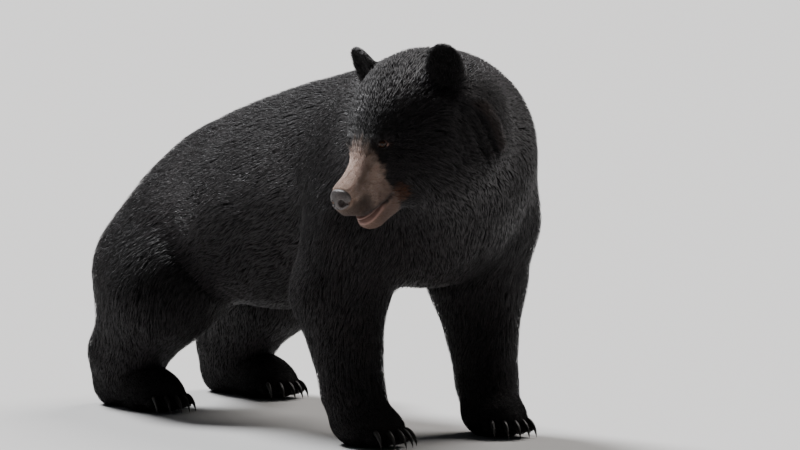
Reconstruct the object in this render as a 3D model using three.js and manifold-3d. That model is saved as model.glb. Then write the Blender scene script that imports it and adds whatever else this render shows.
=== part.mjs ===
// A life-size American black bear: a big adult on four feet, with its head turned to its right.
// Millimetres. +X points forward along the trunk, +Y to the bear's left and +Z up. The feet are on z = 0.
// The flesh is one form of rounded masses that flow into each other. Thin cuts part it into named pieces.
import * as THREE from "three";
import { mergeVertices } from "three/addons/utils/BufferGeometryUtils.js";
import Module from "manifold-3d";

const wasm = await Module();
wasm.setup();
const { Manifold, Mesh: Soup } = wasm;

// ---- driving dimensions, to the outside of the coat

const WITHERS = 800; // top of the shoulders
const ELBOW = 310; // height of the elbow
const STANCE = 170; // half the distance between left and right legs
const HIP_X = -815; // where the hips are
const HIND_STEP = [-70, 20]; // how far the left and the right hind foot are moved forward

const HEAD_AT = [290, -246, 637]; // middle of the skull
const HEAD_SCALE = 1.03;
const HEAD_YAW = -81; // degrees, negative to the bear's right
const HEAD_PITCH = 37; // degrees, nose down
const HEAD_ROLL = 3;

const EYE_AT = [61.8, 43.4, 44.3]; // in the head, for the left eye
const EYE_RADIUS = 11;
const MOUTH_CORNER = [100, -50]; // in the head, forward and up
const LIP_RISE = 4; // degrees from the corner forward
const JAW_DROP = 12; // degrees from the corner forward
const TONGUE = { at: [144, 0, -53.3], radii: [30, 24, 3.9] }; // in the head
const EAR = { at: [-104, 112, 92], radii: [17, 41, 54] }; // the left one, in the head
const EAR_LEAN = 20; // degrees, outward
const EAR_PITCH = -10; // degrees, nose down
const EAR_YAW = [28, 14]; // degrees, how far the left and the right ear open outward
const EAR_CUP = { ahead: [17, 0, 3], radii: [14, 29, 41] }; // the hollow, from the middle of the ear
const EAR_REGION = { base: [-100, 104, 66], radii: [30, 50], reach: 120 }; // the prism that holds an ear
const CLAW = { length: 40, radius: 5.5, curl: 62, pitch: 24 };
const GAP = 0.3; // between touching pieces
const FACET = 0.06; // how far a facet may leave the form, in cells
const SLIVER = 0.05; // edges shorter than this are cleaned from a cut
const BOUNDS = [[-1100, -480, -40], [480, 420, 930]]; // all of the flesh lies between these corners
const FAR = 700; // beyond the flesh to a side

// ---- distance functions

const rad = (degrees) => (degrees * Math.PI) / 180;
const mix = (a, b, t) => a + (b - a) * t;
const clamp = (x, low, high) => Math.min(high, Math.max(low, x));
const sideOf = (side) => (side > 0 ? "left" : "right");
const ofSide = (pair, side) => pair[side > 0 ? 0 : 1];
const both = (make) => [1, -1].flatMap((side) => make(side));

// A frame at a point, turned by Euler angles in degrees: the yaw is applied last.
function frame(at, turn, scale = 1) {
  return new THREE.Matrix4()
    .makeRotationFromEuler(new THREE.Euler(...turn.map(rad), "ZYX"))
    .scale(new THREE.Vector3(scale, scale, scale))
    .setPosition(...at);
}

// An ellipsoid with its own half-axes, turned about its centre.
function egg(centre, radii, blend = 60, turn = [0, 0, 0]) {
  const m = frame(centre, turn).elements;
  const [rx, ry, rz] = radii;
  const near = (x, y, z) => {
    const dx = x - centre[0];
    const dy = y - centre[1];
    const dz = z - centre[2];
    const u = (m[0] * dx + m[1] * dy + m[2] * dz) / rx;
    const v = (m[4] * dx + m[5] * dy + m[6] * dz) / ry;
    const w = (m[8] * dx + m[9] * dy + m[10] * dz) / rz;
    const k0 = Math.hypot(u, v, w);
    const k1 = Math.hypot(u / rx, v / ry, w / rz);
    return k1 < 1e-9 ? -Math.min(rx, ry, rz) : (k0 * (k0 - 1)) / k1;
  };
  return { near, blend };
}

// A rod with round ends that tapers from one radius to another.
function limb(from, to, r0, r1, blend = 40) {
  const axis = to.map((v, i) => v - from[i]);
  const size = axis.reduce((sum, v) => sum + v * v, 0);
  const near = (x, y, z) => {
    const dx = x - from[0];
    const dy = y - from[1];
    const dz = z - from[2];
    const t = clamp((dx * axis[0] + dy * axis[1] + dz * axis[2]) / size, 0, 1);
    return Math.hypot(dx - axis[0] * t, dy - axis[1] * t, dz - axis[2] * t) - mix(r0, r1, t);
  };
  return { near, blend };
}

const carve = (mass) => ({ ...mass, cut: true });

// Smooth union of two distances over a width of blend.
function join(a, b, blend) {
  const h = Math.max(blend - Math.abs(a - b), 0) / blend;
  return Math.min(a, b) - (h * h * blend) / 4;
}

// One distance function of many masses, joined or carved in order.
function flow(masses) {
  return (x, y, z) => {
    let d = 1e4;
    for (const m of masses) {
      const next = m.near(x, y, z);
      d = m.cut ? -join(-d, next, m.blend) : join(d, next, m.blend);
    }
    return d;
  };
}

// ---- anatomy of the trunk and the legs

function trunk() {
  return [
    egg([-190, 0, 527], [330, 226, 224], 60, [0, -4, 0]),
    egg([-470, 0, 446], [310, 238, 214], 80, [0, -6, 0]),
    egg([-450, 0, 534], [360, 170, 152], 90, [0, -9, 0]),
    egg([HIP_X + 90, 0, 418], [209, 184, 184], 90, [0, -24, 0]),
    egg([50, 0, 490], [170, 205, 171], 80),
    egg([-50, 0, 620], [200, 130, WITHERS - 650], 80, [0, -8, 0]),
  ];
}

function foreleg(side) {
  const y = side * STANCE;
  return [
    egg([15, side * 148, 520], [145, 90, 190], 70, [0, 12, 0]),
    limb([40, y, 440], [-15, y + side * 8, ELBOW + 15], 102, 98, 60),
    limb([-15, y + side * 6, ELBOW - 10], [25, y, 110], 96, 64, 40),
    limb([25, y, 105], [60, y - side * 6, 52], 60, 52, 30),
    egg([66, y - side * 10, 40], [92, 62, 46], 30, [0, 0, -side * 8]),
  ];
}

function hindleg(side) {
  const y = side * STANCE;
  const x = HIP_X + ofSide(HIND_STEP, side);
  return [
    egg([x + 28, side * 122, 334], [152, 105, 168], 80, [0, 18, 0]),
    limb([x - 10, y - side * 20, 300], [x + 110, y + side * 8, 268], 127, 112, 70),
    limb([x + 75, y + side * 8, 258], [x - 62, y, 120], 114, 88, 60),
    limb([x - 70, y, 115], [x - 86, y, 56], 80, 66, 30),
    limb([x - 90, y, 50], [x + 50, y + side * 6, 40], 54, 54, 30),
    egg([x + 62, y + side * 8, 38], [88, 60, 44], 30),
  ];
}

// Toes in an arc across the front of a paw, largest in the middle.
function toes(paw) {
  return paw.toes.map((toe) => egg(toe.at, [25, 14, 17], 9, [0, 12, toe.yaw]));
}

function tail() {
  return [limb([-960, 0, 440], [-992, 0, 372], 36, 26, 34)];
}

// ---- anatomy of the head, in its own frame: +X to the nose, +Y to the left and +Z to the crown

const headPlace = frame(HEAD_AT, [HEAD_ROLL, HEAD_PITCH, HEAD_YAW], HEAD_SCALE);
const headBack = headPlace.clone().invert().elements;
const atHead = (...p) => new THREE.Vector3(...p).applyMatrix4(headPlace).toArray();

function neck() {
  return [
    limb([40, 0, 565], [150, -30, 595], 205, 188, 80),
    limb([90, -10, 625], atHead(-90, 0, -40), 176, 162, 80),
    limb([120, -30, 550], atHead(-70, 0, -60), 150, 105, 80),
  ];
}

function skull() {
  return [
    egg([-54, 0, 23], [118, 98, 95], 50, [0, 8, 0]),
    egg([2, 0, 34], [80, 58, 52], 40, [0, 8, 0]),
    ...both((side) => [
      egg([-28, side * 62, -20], [80, 50, 66], 40),
      egg([-72, side * 76, -44], [78, 52, 70], 40),
      egg([44, side * 30, 42], [29, 21, 21], 24),
    ]),
    limb([66, 0, 6], [156, 0, -8], 41, 34, 32),
    egg([166, 0, -6], [31, 29, 30], 20),
    ...both((side) => [egg([126, side * 22, -34], [54, 19, 20], 18)]),
    limb([0, 0, -68], [134, 0, -69], 50, 28, 26),
    egg([144, 0, -70], [27, 27, 20], 16),
  ];
}

// The ears are round cups that open forward and outward.
const onSide = (at, side) => [at[0], side * at[1], at[2]];
const earTurn = (side) => [-side * EAR_LEAN, EAR_PITCH, side * ofSide(EAR_YAW, side)];

function ears() {
  return both((side) => {
    const place = frame(onSide(EAR.at, side), earTurn(side));
    const cup = new THREE.Vector3(...EAR_CUP.ahead).applyMatrix4(place).toArray();
    return [
      egg([-106, side * 102, 58], [32, 40, 34], 20),
      egg(onSide(EAR.at, side), EAR.radii, 18, earTurn(side)),
      carve(egg(cup, EAR_CUP.radii, 12, earTurn(side))),
    ];
  });
}

function inHead(masses) {
  const e = headBack;
  const turn = (near) => (x, y, z) =>
    HEAD_SCALE *
    near(
      e[0] * x + e[4] * y + e[8] * z + e[12],
      e[1] * x + e[5] * y + e[9] * z + e[13],
      e[2] * x + e[6] * y + e[10] * z + e[14],
    );
  return masses.map((m) => ({ near: turn(m.near), blend: m.blend * HEAD_SCALE, cut: m.cut }));
}

// ---- paws

// Where the toes and the claws of a paw are, from the middle of its ball.
function pawOf(name, ball, yaw, reach) {
  const place = frame(ball, [0, 0, yaw]);
  const toesAt = [-2, -1, 0, 1, 2].map((k) => {
    const lean = -k * 7;
    const x = reach - Math.abs(k) ** 1.6 * 7;
    const spot = (dx, z) => new THREE.Vector3(x + dx, k * 22, z - ball[2]).applyMatrix4(place).toArray();
    return { at: spot(-22, 24), claw: spot(-4, 33), yaw: yaw - lean };
  });
  return { name, toes: toesAt };
}

const paws = both((side) => {
  const y = side * STANCE;
  const hindX = HIP_X + ofSide(HIND_STEP, side);
  return [
    pawOf(`forepaw_${sideOf(side)}`, [66, y - side * 10, 40], -side * 8, 96),
    pawOf(`hindpaw_${sideOf(side)}`, [hindX + 62, y + side * 8, 38], 0, 92),
  ];
});

const legs = both((side) => [...foreleg(side), ...hindleg(side)]);
const body = [...trunk(), ...legs, ...neck(), ...inHead(skull())];
const plain = flow([...body, ...tail()]);
const eared = flow([...body, ...inHead(ears())]);
const pawed = Object.fromEntries(
  paws.map((paw) => {
    const side = paw.name.endsWith("left") ? 1 : -1;
    const leg = paw.name.startsWith("fore") ? foreleg(side) : hindleg(side);
    return [paw.name, flow([...leg, ...toes(paw)])];
  }),
);

// ---- solids that can be joined and cut

function solidOf(positions, indices) {
  const vertProperties = Float32Array.from(positions);
  return new Manifold(new Soup({ numProp: 3, vertProperties, triVerts: Uint32Array.from(indices) }));
}

// A solid of one of three's own shapes, placed by a matrix.
function solidFrom(shape, place = new THREE.Matrix4()) {
  shape.deleteAttribute("normal");
  shape.deleteAttribute("uv");
  const closed = mergeVertices(shape.applyMatrix4(place));
  return solidOf(closed.getAttribute("position").array, closed.index.array);
}

// ---- meshing: surface nets of the zero level on a regular grid, closed at the rim of the grid

const CORNERS = [...Array(8).keys()].map((c) => [c & 1, (c >> 1) & 1, c >> 2]);
const EDGES = CORNERS.flatMap((_, a) => [1, 2, 4].filter((bit) => !(a & bit)).map((bit) => [a, a | bit]));

function sample(field, low, size, n) {
  const values = new Float64Array(n[0] * n[1] * n[2]);
  let here = 0;
  for (let k = 0; k < n[2]; k++)
    for (let j = 0; j < n[1]; j++)
      for (let i = 0; i < n[0]; i++) {
        const rim = [i, j, k].some((v, q) => v === 0 || v === n[q] - 1);
        const d = field(low[0] + i * size, low[1] + j * size, low[2] + k * size);
        values[here++] = rim ? Math.max(d, 1) : d;
      }
  return values;
}

// The middle of the places where the surface crosses a cell's edges, or nothing where it does not.
function crossing(d) {
  const sum = [0, 0, 0];
  let count = 0;
  for (const [a, b] of EDGES) {
    if (d[a] < 0 === d[b] < 0) continue;
    const t = d[a] / (d[a] - d[b]);
    for (let q = 0; q < 3; q++) sum[q] += mix(CORNERS[a][q], CORNERS[b][q], t);
    count++;
  }
  return count ? sum.map((s) => s / count) : null;
}

// A point near the surface, moved onto it along the slope of the field.
function settle(field, point, size) {
  const d = field(...point);
  if (Math.abs(d) > size / 3) return point;
  const slope = point.map((_, q) => {
    const [ahead, behind] = [1, -1].map((way) => field(...point.map((v, r) => (r === q ? v + way : v))));
    return (ahead - behind) / 2;
  });
  const steep = slope.reduce((sum, v) => sum + v * v, 1e-6);
  return point.map((v, q) => v - (d * slope[q]) / steep);
}

function polygonize(field, low, high, size) {
  const n = low.map((v, i) => Math.ceil((high[i] - v) / size) + 1);
  const step = [1, n[0], n[0] * n[1]];
  const at = (i, j, k) => k * step[2] + j * step[1] + i;
  const values = sample(field, low, size, n);
  const positions = [];
  const vertexOf = new Map();
  for (let k = 0; k < n[2] - 1; k++)
    for (let j = 0; j < n[1] - 1; j++)
      for (let i = 0; i < n[0] - 1; i++) {
        const middle = crossing(CORNERS.map(([a, b, c]) => values[at(i + a, j + b, k + c)]));
        if (!middle) continue;
        vertexOf.set(at(i, j, k), positions.length / 3);
        positions.push(...settle(field, middle.map((m, q) => low[q] + ([i, j, k][q] + m) * size), size));
      }
  const indices = [];
  for (let here = 0; here < values.length; here++)
    for (let axis = 0; axis < 3; axis++) {
      const inside = values[here] < 0;
      if (here + step[axis] >= values.length || inside === values[here + step[axis]] < 0) continue;
      const u = step[(axis + 1) % 3];
      const v = step[(axis + 2) % 3];
      const quad = [here - u - v, here - v, here, here - u].map((c) => vertexOf.get(c));
      if (!inside) quad.reverse();
      indices.push(quad[0], quad[1], quad[2], quad[0], quad[2], quad[3]);
    }
  return solidOf(positions, indices);
}

// ---- regions: boxes that say which piece owns what

// A box between two corners in a frame, with a border of its own.
function box(low, high, place = new THREE.Matrix4()) {
  const middle = low.map((v, i) => (v + high[i]) / 2);
  return (border = 0) => {
    const size = high.map((v, i) => v - low[i] + 2 * border);
    return solidFrom(new THREE.BoxGeometry(...size).translate(...middle), place);
  };
}

const onHead = (at, turn) => headPlace.clone().multiply(frame(at, turn));
const lipPlace = (degrees) => onHead([MOUTH_CORNER[0], 0, MOUTH_CORNER[1]], [0, degrees, 0]);
const neckPlace = frame([118, -10, 600], [0, 0, -20]);

// The oval prism that holds an ear, on its base.
const earRegion = (side) => (border = 0) => {
  const [thick, wide] = EAR_REGION.radii.map((radius) => radius + border);
  const { reach } = EAR_REGION;
  const prism = new THREE.CylinderGeometry(1, 1, reach + 2 * border, 24).rotateX(Math.PI / 2);
  prism.scale(thick, wide, 1).translate(0, 0, reach / 2);
  return solidFrom(prism, onHead(onSide(EAR_REGION.base, side), earTurn(side)));
};

// The open mouth: a wedge between the lips, closed at the corner.
function mouth() {
  const below = box([-20, -90, -40], [160, 90, 0], lipPlace(-LIP_RISE))();
  const above = box([0, -90, 0], [160, 90, 60], lipPlace(JAW_DROP))();
  return below.intersect(above);
}

// A box given for the left side, or its mirror image on the right.
const mirrored = (low, high, side) => {
  const [near, far] = [side * low[1], side * high[1]];
  return box(
    [low[0], Math.min(near, far), low[2]],
    [high[0], Math.max(near, far), high[2]],
  );
};

const REGIONS = [
  ...both((side) => [[`ear_${sideOf(side)}`, earRegion(side), 14]]),
  ["nose", box([172, -60, -36], [240, 60, 60], headPlace), 15],
  ["lower_jaw", box([-46, -90, -90], [160, 90, 0], lipPlace(JAW_DROP)), 22],
  ["head", box([-128, -200, -136], [172, 200, 210], headPlace), 34],
  ...both((side) => [
    [`forepaw_${sideOf(side)}`, mirrored([-60, 20, -60], [230, FAR, 74], side), 31],
    [`forearm_${sideOf(side)}`, mirrored([-190, 20, 74], [190, FAR, 300], side), 46],
    [`upper_arm_${sideOf(side)}`, mirrored([-150, 110, 300], [240, FAR, 540], side), 56],
    [`hindpaw_${sideOf(side)}`, mirrored([-1060, 20, -60], [-560, FAR, 74], side), 33],
    [`shin_${sideOf(side)}`, mirrored([-1060, 20, 74], [-560, FAR, 232], side), 50],
    [`thigh_${sideOf(side)}`, mirrored([-1060, 80, 232], [-590, FAR, 440], side), 56],
  ]),
  ["neck", box([0, -FAR, -180], [FAR, FAR, FAR], neckPlace), 62],
  ["tail", box([-1100, -60, 330], [-975, 60, 470]), 22],
  ["rump", box([-1100, -FAR, 150], [-590, FAR, 900]), 66],
  ["belly", box([-590, -FAR, 150], [-190, FAR, 900]), 72],
  ["chest", box([-190, -FAR, 150], [420, FAR, 900]), 68],
];

// ---- pieces that are not flesh of the trunk

const MATERIALS = {
  coat: new THREE.MeshStandardMaterial({ color: 0x14110f, roughness: 0.8, metalness: 0 }),
  muzzle: new THREE.MeshStandardMaterial({ color: 0x8a6a4e, roughness: 0.8, metalness: 0 }),
  nose: new THREE.MeshStandardMaterial({ color: 0x2c2624, roughness: 0.45, metalness: 0 }),
  tongue: new THREE.MeshStandardMaterial({ color: 0xa8625a, roughness: 0.4, metalness: 0 }),
  eye: new THREE.MeshStandardMaterial({ color: 0x1d110a, roughness: 0.08, metalness: 0 }),
  claw: new THREE.MeshStandardMaterial({ color: 0x1b1816, roughness: 0.35, metalness: 0 }),
};

// A claw: a cone bent in an arc from its root at the origin forward and down.
function clawShape(border = 0) {
  const rings = 3;
  const sides = 6;
  const radius = CLAW.length / rad(CLAW.curl);
  const positions = [];
  for (let r = -1; r < rings; r++) {
    const t = r / rings;
    const bend = rad(CLAW.curl * t);
    const thick = CLAW.radius * (1 - Math.max(t, 0) ** 1.5) + border;
    const reach = radius * Math.sin(bend) - (r < 0 ? border : 0);
    const drop = radius * (1 - Math.cos(bend));
    for (let s = 0; s < sides; s++) {
      const turn = (2 * Math.PI * s) / sides;
      const out = thick * 1.25 * Math.sin(turn);
      const aside = thick * 0.8 * Math.cos(turn);
      positions.push(reach + out * Math.sin(bend), aside, out * Math.cos(bend) - drop);
    }
  }
  const end = rad(CLAW.curl);
  positions.push(radius * Math.sin(end), 0, -radius * (1 - Math.cos(end)));
  const tip = (rings + 1) * sides;
  const indices = [];
  for (let s = 0; s < sides; s++) {
    const next = (s + 1) % sides;
    for (let r = 0; r < rings; r++) {
      const a = r * sides;
      indices.push(a + s, a + next, a + sides + next, a + s, a + sides + next, a + sides + s);
    }
    indices.push(tip - sides + s, tip - sides + next, tip);
    if (s > 1) indices.push(0, s, s - 1);
  }
  const shape = new THREE.BufferGeometry();
  shape.setAttribute("position", new THREE.Float32BufferAttribute(positions, 3));
  shape.setIndex(indices);
  return shape;
}

const clawPlace = (toe) => frame(toe.claw, [0, CLAW.pitch, toe.yaw]);

// ---- assembly

const largest = (solid) => solid.decompose().reduce((a, b) => (b.volume() > a.volume() ? b : a));

// A named mesh of a shape in its own frame, placed by a matrix.
function placed(name, shape, material, place = new THREE.Matrix4()) {
  const mesh = new THREE.Mesh(shape, material);
  mesh.name = name;
  place.decompose(mesh.position, mesh.quaternion, mesh.scale);
  return mesh;
}

function shapeOf(solid) {
  const soup = solid.getMesh();
  const positions = new THREE.BufferAttribute(Float32Array.from(soup.vertProperties), soup.numProp);
  const shape = new THREE.BufferGeometry();
  shape.setAttribute("position", positions);
  shape.setIndex([...soup.triVerts]);
  const closed = mergeVertices(shape);
  closed.computeVertexNormals();
  return closed;
}

// What is taken out of a piece of flesh: the sockets of the eyes in the head, those of the claws in a paw.
function socketsOf(name) {
  if (name === "head")
    return [1, -1].map((side) => {
      const socket = new THREE.SphereGeometry(EYE_RADIUS + 2 * GAP, 16, 9);
      return solidFrom(socket, onHead(onSide(EYE_AT, side), [0, 0, 0]));
    });
  const paw = paws.find((one) => one.name === name);
  return (paw?.toes ?? []).map((toe) => solidFrom(clawShape(GAP), clawPlace(toe)));
}

// The flesh inside a region, in cells of one size.
function fleshIn(name, region, size) {
  const reach = region.boundingBox();
  const low = reach.min.map((v, i) => Math.max(v, BOUNDS[0][i]) - 1.5 * size);
  const high = reach.max.map((v, i) => Math.min(v, BOUNDS[1][i]) + 1.5 * size);
  const field = pawed[name] ?? (name.startsWith("ear") ? eared : plain);
  return polygonize(field, low, high, size).simplify(FACET * size).intersect(region);
}

function fleshPieces() {
  const open = mouth();
  const above = box([BOUNDS[0][0], -FAR, 0], [FAR, FAR, 2 * FAR])();
  const done = [];
  const pieces = [];
  for (const [name, region, size] of REGIONS) {
    let solid = fleshIn(name, region(), size).intersect(above);
    for (const other of done) solid = solid.subtract(other(GAP));
    for (const hollow of [open, ...socketsOf(name)]) solid = solid.subtract(hollow);
    done.push(region);
    pieces.push([name, largest(solid.simplify(SLIVER))]);
  }
  return pieces;
}

const group = new THREE.Group();
for (const [name, solid] of fleshPieces()) {
  const finish = { nose: MATERIALS.nose, lower_jaw: MATERIALS.muzzle }[name] ?? MATERIALS.coat;
  group.add(placed(name, shapeOf(solid), finish));
}

// What sits in the head, in the head's own frame.
const face = new THREE.Group();
headPlace.decompose(face.position, face.quaternion, face.scale);
const tonguePlace = frame(TONGUE.at, [0, (JAW_DROP - LIP_RISE) / 2, 0]);
const tongueShape = new THREE.SphereGeometry(1, 12, 7).scale(...TONGUE.radii);
face.add(placed("tongue", tongueShape, MATERIALS.tongue, tonguePlace));
for (const side of [1, -1]) {
  const eyeShape = new THREE.SphereGeometry(EYE_RADIUS, 12, 7);
  const spot = frame(onSide(EYE_AT, side), [0, 0, 0]);
  face.add(placed(`eye_${sideOf(side)}`, eyeShape, MATERIALS.eye, spot));
}
group.add(face);

for (const paw of paws) {
  const claws = new THREE.Group();
  paw.toes.forEach((toe, i) =>
    claws.add(placed(`${paw.name}_claw_${i + 1}`, clawShape(), MATERIALS.claw, clawPlace(toe))),
  );
  group.add(claws);
}

// The origin is under the middle of the whole.
const whole = new THREE.Box3().setFromObject(group);
group.position.set(-(whole.min.x + whole.max.x) / 2, -(whole.min.y + whole.max.y) / 2, 0);

export default group;
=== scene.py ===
"""A life-size American black bear, standing on four feet with its head turned to its right.

Everything is worked out in millimetres in the bear's own frame: +X forward along the trunk, +Y to its
left, +Z up, feet on z = 0. The meshes are written in metres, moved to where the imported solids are. One
skin covers the flesh, and tufts of solid hair grow from it along the lie of the coat.
"""

import logging
import math
from dataclasses import dataclass, field, replace
from enum import Enum
from functools import cached_property
from typing import Callable

import bpy
import numpy as np
from mathutils import Euler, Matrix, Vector


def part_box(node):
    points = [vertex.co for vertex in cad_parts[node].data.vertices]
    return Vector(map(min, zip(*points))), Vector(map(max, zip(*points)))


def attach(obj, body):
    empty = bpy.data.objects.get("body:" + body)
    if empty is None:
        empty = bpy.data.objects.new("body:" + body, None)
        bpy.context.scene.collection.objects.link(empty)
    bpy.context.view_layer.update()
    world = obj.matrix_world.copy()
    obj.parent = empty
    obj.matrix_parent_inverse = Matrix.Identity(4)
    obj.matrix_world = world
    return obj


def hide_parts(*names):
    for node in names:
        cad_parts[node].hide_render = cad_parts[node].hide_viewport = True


LOG = logging.getLogger("black_bear")
MM = 0.001
TINY = 1e-9
FAR = 1e4
SIDES = (1, -1)
BAKE_MAP = "OFBake"

# names of the point attributes that the finishes read
MARKS = "marks"
LIE = "lie"
STRAND = "strand"
TINTS = "tints"
TURN = "turn"

# numbers that stir a cell's place in a grid into a chance of its own
CELL_MIX = ((12.9, 78.2, 37.7), (39.3, 11.1, 83.1), (73.1, 52.2, 9.7))
CELL_STIR = 4375.5

Point = tuple[float, float, float]
Span = tuple[float, float]
Field = Callable[[np.ndarray], np.ndarray]

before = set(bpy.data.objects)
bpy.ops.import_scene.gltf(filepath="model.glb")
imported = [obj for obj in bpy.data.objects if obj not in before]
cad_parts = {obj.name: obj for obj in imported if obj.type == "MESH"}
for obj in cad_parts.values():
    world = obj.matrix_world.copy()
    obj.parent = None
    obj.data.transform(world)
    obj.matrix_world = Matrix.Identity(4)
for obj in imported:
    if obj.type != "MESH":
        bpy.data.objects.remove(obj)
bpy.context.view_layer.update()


def lengths(vectors: np.ndarray) -> np.ndarray:
    """Lengths of rows of vectors, kept as a column."""
    return np.sqrt(np.einsum("ij,ij->i", vectors, vectors))[:, None]


def unit(vectors: np.ndarray) -> np.ndarray:
    """Rows of vectors scaled to length 1."""
    return vectors / np.maximum(lengths(vectors), TINY)


def across(vectors: np.ndarray, normals: np.ndarray) -> np.ndarray:
    """The part of each vector that runs across its normal."""
    return vectors - normals * (vectors * normals).sum(1)[:, None]


def smooth(low: float, high: float, values: np.ndarray) -> np.ndarray:
    """A smooth step from 0 at low to 1 at high; low may be the larger of the two."""
    t = np.clip((values - low) / (high - low), 0.0, 1.0)
    return t * t * (3.0 - 2.0 * t)


def blend_rows(weights: np.ndarray, rows: np.ndarray) -> np.ndarray:
    """Sums of three rows each, by their weights."""
    return np.einsum("ij,ijk->ik", weights, rows)


def circle(count: int) -> np.ndarray:
    """Angles of points that are even round a circle."""
    return np.arange(count) * 2 * math.pi / count


def both(make: Callable[[int], list]) -> list:
    """What a maker gives for the left side (1) and then for the right side (-1)."""
    return [item for side in SIDES for item in make(side)]


class Ripple:
    """A smooth random value from a few sine waves in random directions."""

    def __init__(self, seed: int, wavelength: float, waves: int = 7) -> None:
        """Draws the waves.

        Args:
            seed: Seed of the draw.
            wavelength: Typical length of a wave in millimetres.
            waves: How many waves are added.
        """
        rng = np.random.default_rng(seed)
        ways = unit(rng.normal(size=(waves, 3)))
        self.waves = ways * (2 * math.pi / wavelength) * rng.uniform(0.6, 1.7, (waves, 1))
        self.phases = rng.uniform(0, 2 * math.pi, waves)

    def at(self, points: np.ndarray) -> np.ndarray:
        """Values between about -1 and 1 at the points."""
        return np.sin(points @ self.waves.T + self.phases).sum(1) / math.sqrt(len(self.phases))


# ---- places and masses


@dataclass(frozen=True)
class Place:
    """A frame in its parent: origin, turn (roll, pitch, yaw in degrees, yaw last) and scale."""

    at: Point = (0.0, 0.0, 0.0)
    turn: Point = (0.0, 0.0, 0.0)
    scale: float = 1.0

    @cached_property
    def axes(self) -> np.ndarray:
        """The rotation as a 3 by 3 matrix."""
        return np.array(Euler([math.radians(t) for t in self.turn], "XYZ").to_matrix())

    def out(self, points: np.ndarray) -> np.ndarray:
        """Points of this frame in the parent's frame."""
        return points @ self.axes.T * self.scale + np.array(self.at)

    def spot(self, *local: float) -> Point:
        """One point of this frame in the parent's frame."""
        return tuple(self.out(np.array([local]))[0])

    def back(self, points: np.ndarray) -> np.ndarray:
        """Points of the parent's frame in this frame."""
        return (points - np.array(self.at)) @ self.axes / self.scale

    def aim(self, ways: np.ndarray) -> np.ndarray:
        """Directions of this frame in the parent's frame."""
        return ways @ self.axes.T


@dataclass(frozen=True)
class Pelt:
    """How the coat grows on a mass: depth over the skin, tuft length and width, and the way it lies."""

    depth: float
    length: float
    width: float
    lie: Point

    @property
    def row(self) -> np.ndarray:
        """The values as one row."""
        return np.array([self.depth, self.length, self.width, *self.lie])


NO_PELT = Pelt(0.0, 1.0, 1.0, (0.0, 0.0, 0.0))


@dataclass(frozen=True)
class Mass:
    """A rounded form with a signed distance, that flows into its neighbours over a width of blend.

    Its rule is how much more its coat counts than its neighbours' coats.
    """

    blend: float = 40.0
    pelt: Pelt = NO_PELT
    cut: bool = False
    part: str = ""
    rule: float = 1.0

    def near(self, points: np.ndarray) -> np.ndarray:
        """Signed distances from the points to the form."""
        raise NotImplementedError

    def onto(self, d: np.ndarray, step: np.ndarray) -> np.ndarray:
        """A distance after the form, a step away, is joined to it or carved out of it."""
        return -join(-d, step, self.blend) if self.cut else join(d, step, self.blend)


@dataclass(frozen=True)
class Egg(Mass):
    """An ellipsoid with its own half-axes, turned about its centre."""

    centre: Point = (0.0, 0.0, 0.0)
    radii: Point = (1.0, 1.0, 1.0)
    turn: Point = (0.0, 0.0, 0.0)

    def near(self, points: np.ndarray) -> np.ndarray:
        """Signed distances to the ellipsoid.

        Args:
            points: Places in the ellipsoid's parent frame.

        Returns:
            The distances, exact on the surface.
        """
        scaled = Place(self.centre, self.turn).back(points) / np.array(self.radii)
        k0 = lengths(scaled)[:, 0]
        k1 = lengths(scaled / np.array(self.radii))[:, 0]
        return k0 * (k0 - 1.0) / np.maximum(k1, TINY)


@dataclass(frozen=True)
class Limb(Mass):
    """A rod with round ends that tapers from one radius to another."""

    start: Point = (0.0, 0.0, 0.0)
    end: Point = (0.0, 0.0, 1.0)
    r0: float = 1.0
    r1: float = 1.0

    def near(self, points: np.ndarray) -> np.ndarray:
        """Signed distances to the rod.

        Args:
            points: Places in the rod's frame.

        Returns:
            The distances.
        """
        axis = np.array(self.end) - np.array(self.start)
        along = points - np.array(self.start)
        t = np.clip(along @ axis / (axis @ axis), 0.0, 1.0)
        return lengths(along - t[:, None] * axis)[:, 0] - (self.r0 + (self.r1 - self.r0) * t)


@dataclass(frozen=True)
class Almond(Mass):
    """The opening between two lids, wide across and closed at both corners, in the way of +X."""

    half_width: float = 10.0
    half_height: float = 5.0
    place: Place = Place()
    eased: float = 0.8

    def near(self, points: np.ndarray) -> np.ndarray:
        """Signed distances to the opening.

        Args:
            points: Places in the opening's parent frame.

        Returns:
            The distances, eased because the height over the arc is more than the way to it.
        """
        local = self.place.back(points)
        arc = self.half_height * (1.0 - (local[:, 1] / self.half_width) ** 2)
        return np.maximum(np.abs(local[:, 2]) - arc, -local[:, 0]) * self.eased


@dataclass(frozen=True)
class Wedge(Mass):
    """The gap between two planes that meet at a hinge across the head, in the way of +X."""

    upper: Place = Place()
    lower: Place = Place()

    def near(self, points: np.ndarray) -> np.ndarray:
        """Signed distances from the points to the gap."""
        return np.maximum(self.upper.back(points)[:, 2], -self.lower.back(points)[:, 2])


@dataclass(frozen=True)
class Within(Mass):
    """A mass that is given in a frame of its own, and lies within a bound round its origin."""

    mass: Mass = Mass()
    place: Place = Place()
    bound: float = 230.0
    margin: float = 110.0

    def near(self, points: np.ndarray) -> np.ndarray:
        """Signed distances to the form, and beyond the margin only to its bound.

        Args:
            points: Places in the parent's frame.

        Returns:
            The distances.
        """
        d = lengths(points - np.array(self.place.at))[:, 0] - self.bound
        close = d < self.margin
        d[close] = self.place.scale * self.mass.near(self.place.back(points[close]))
        return d


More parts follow.
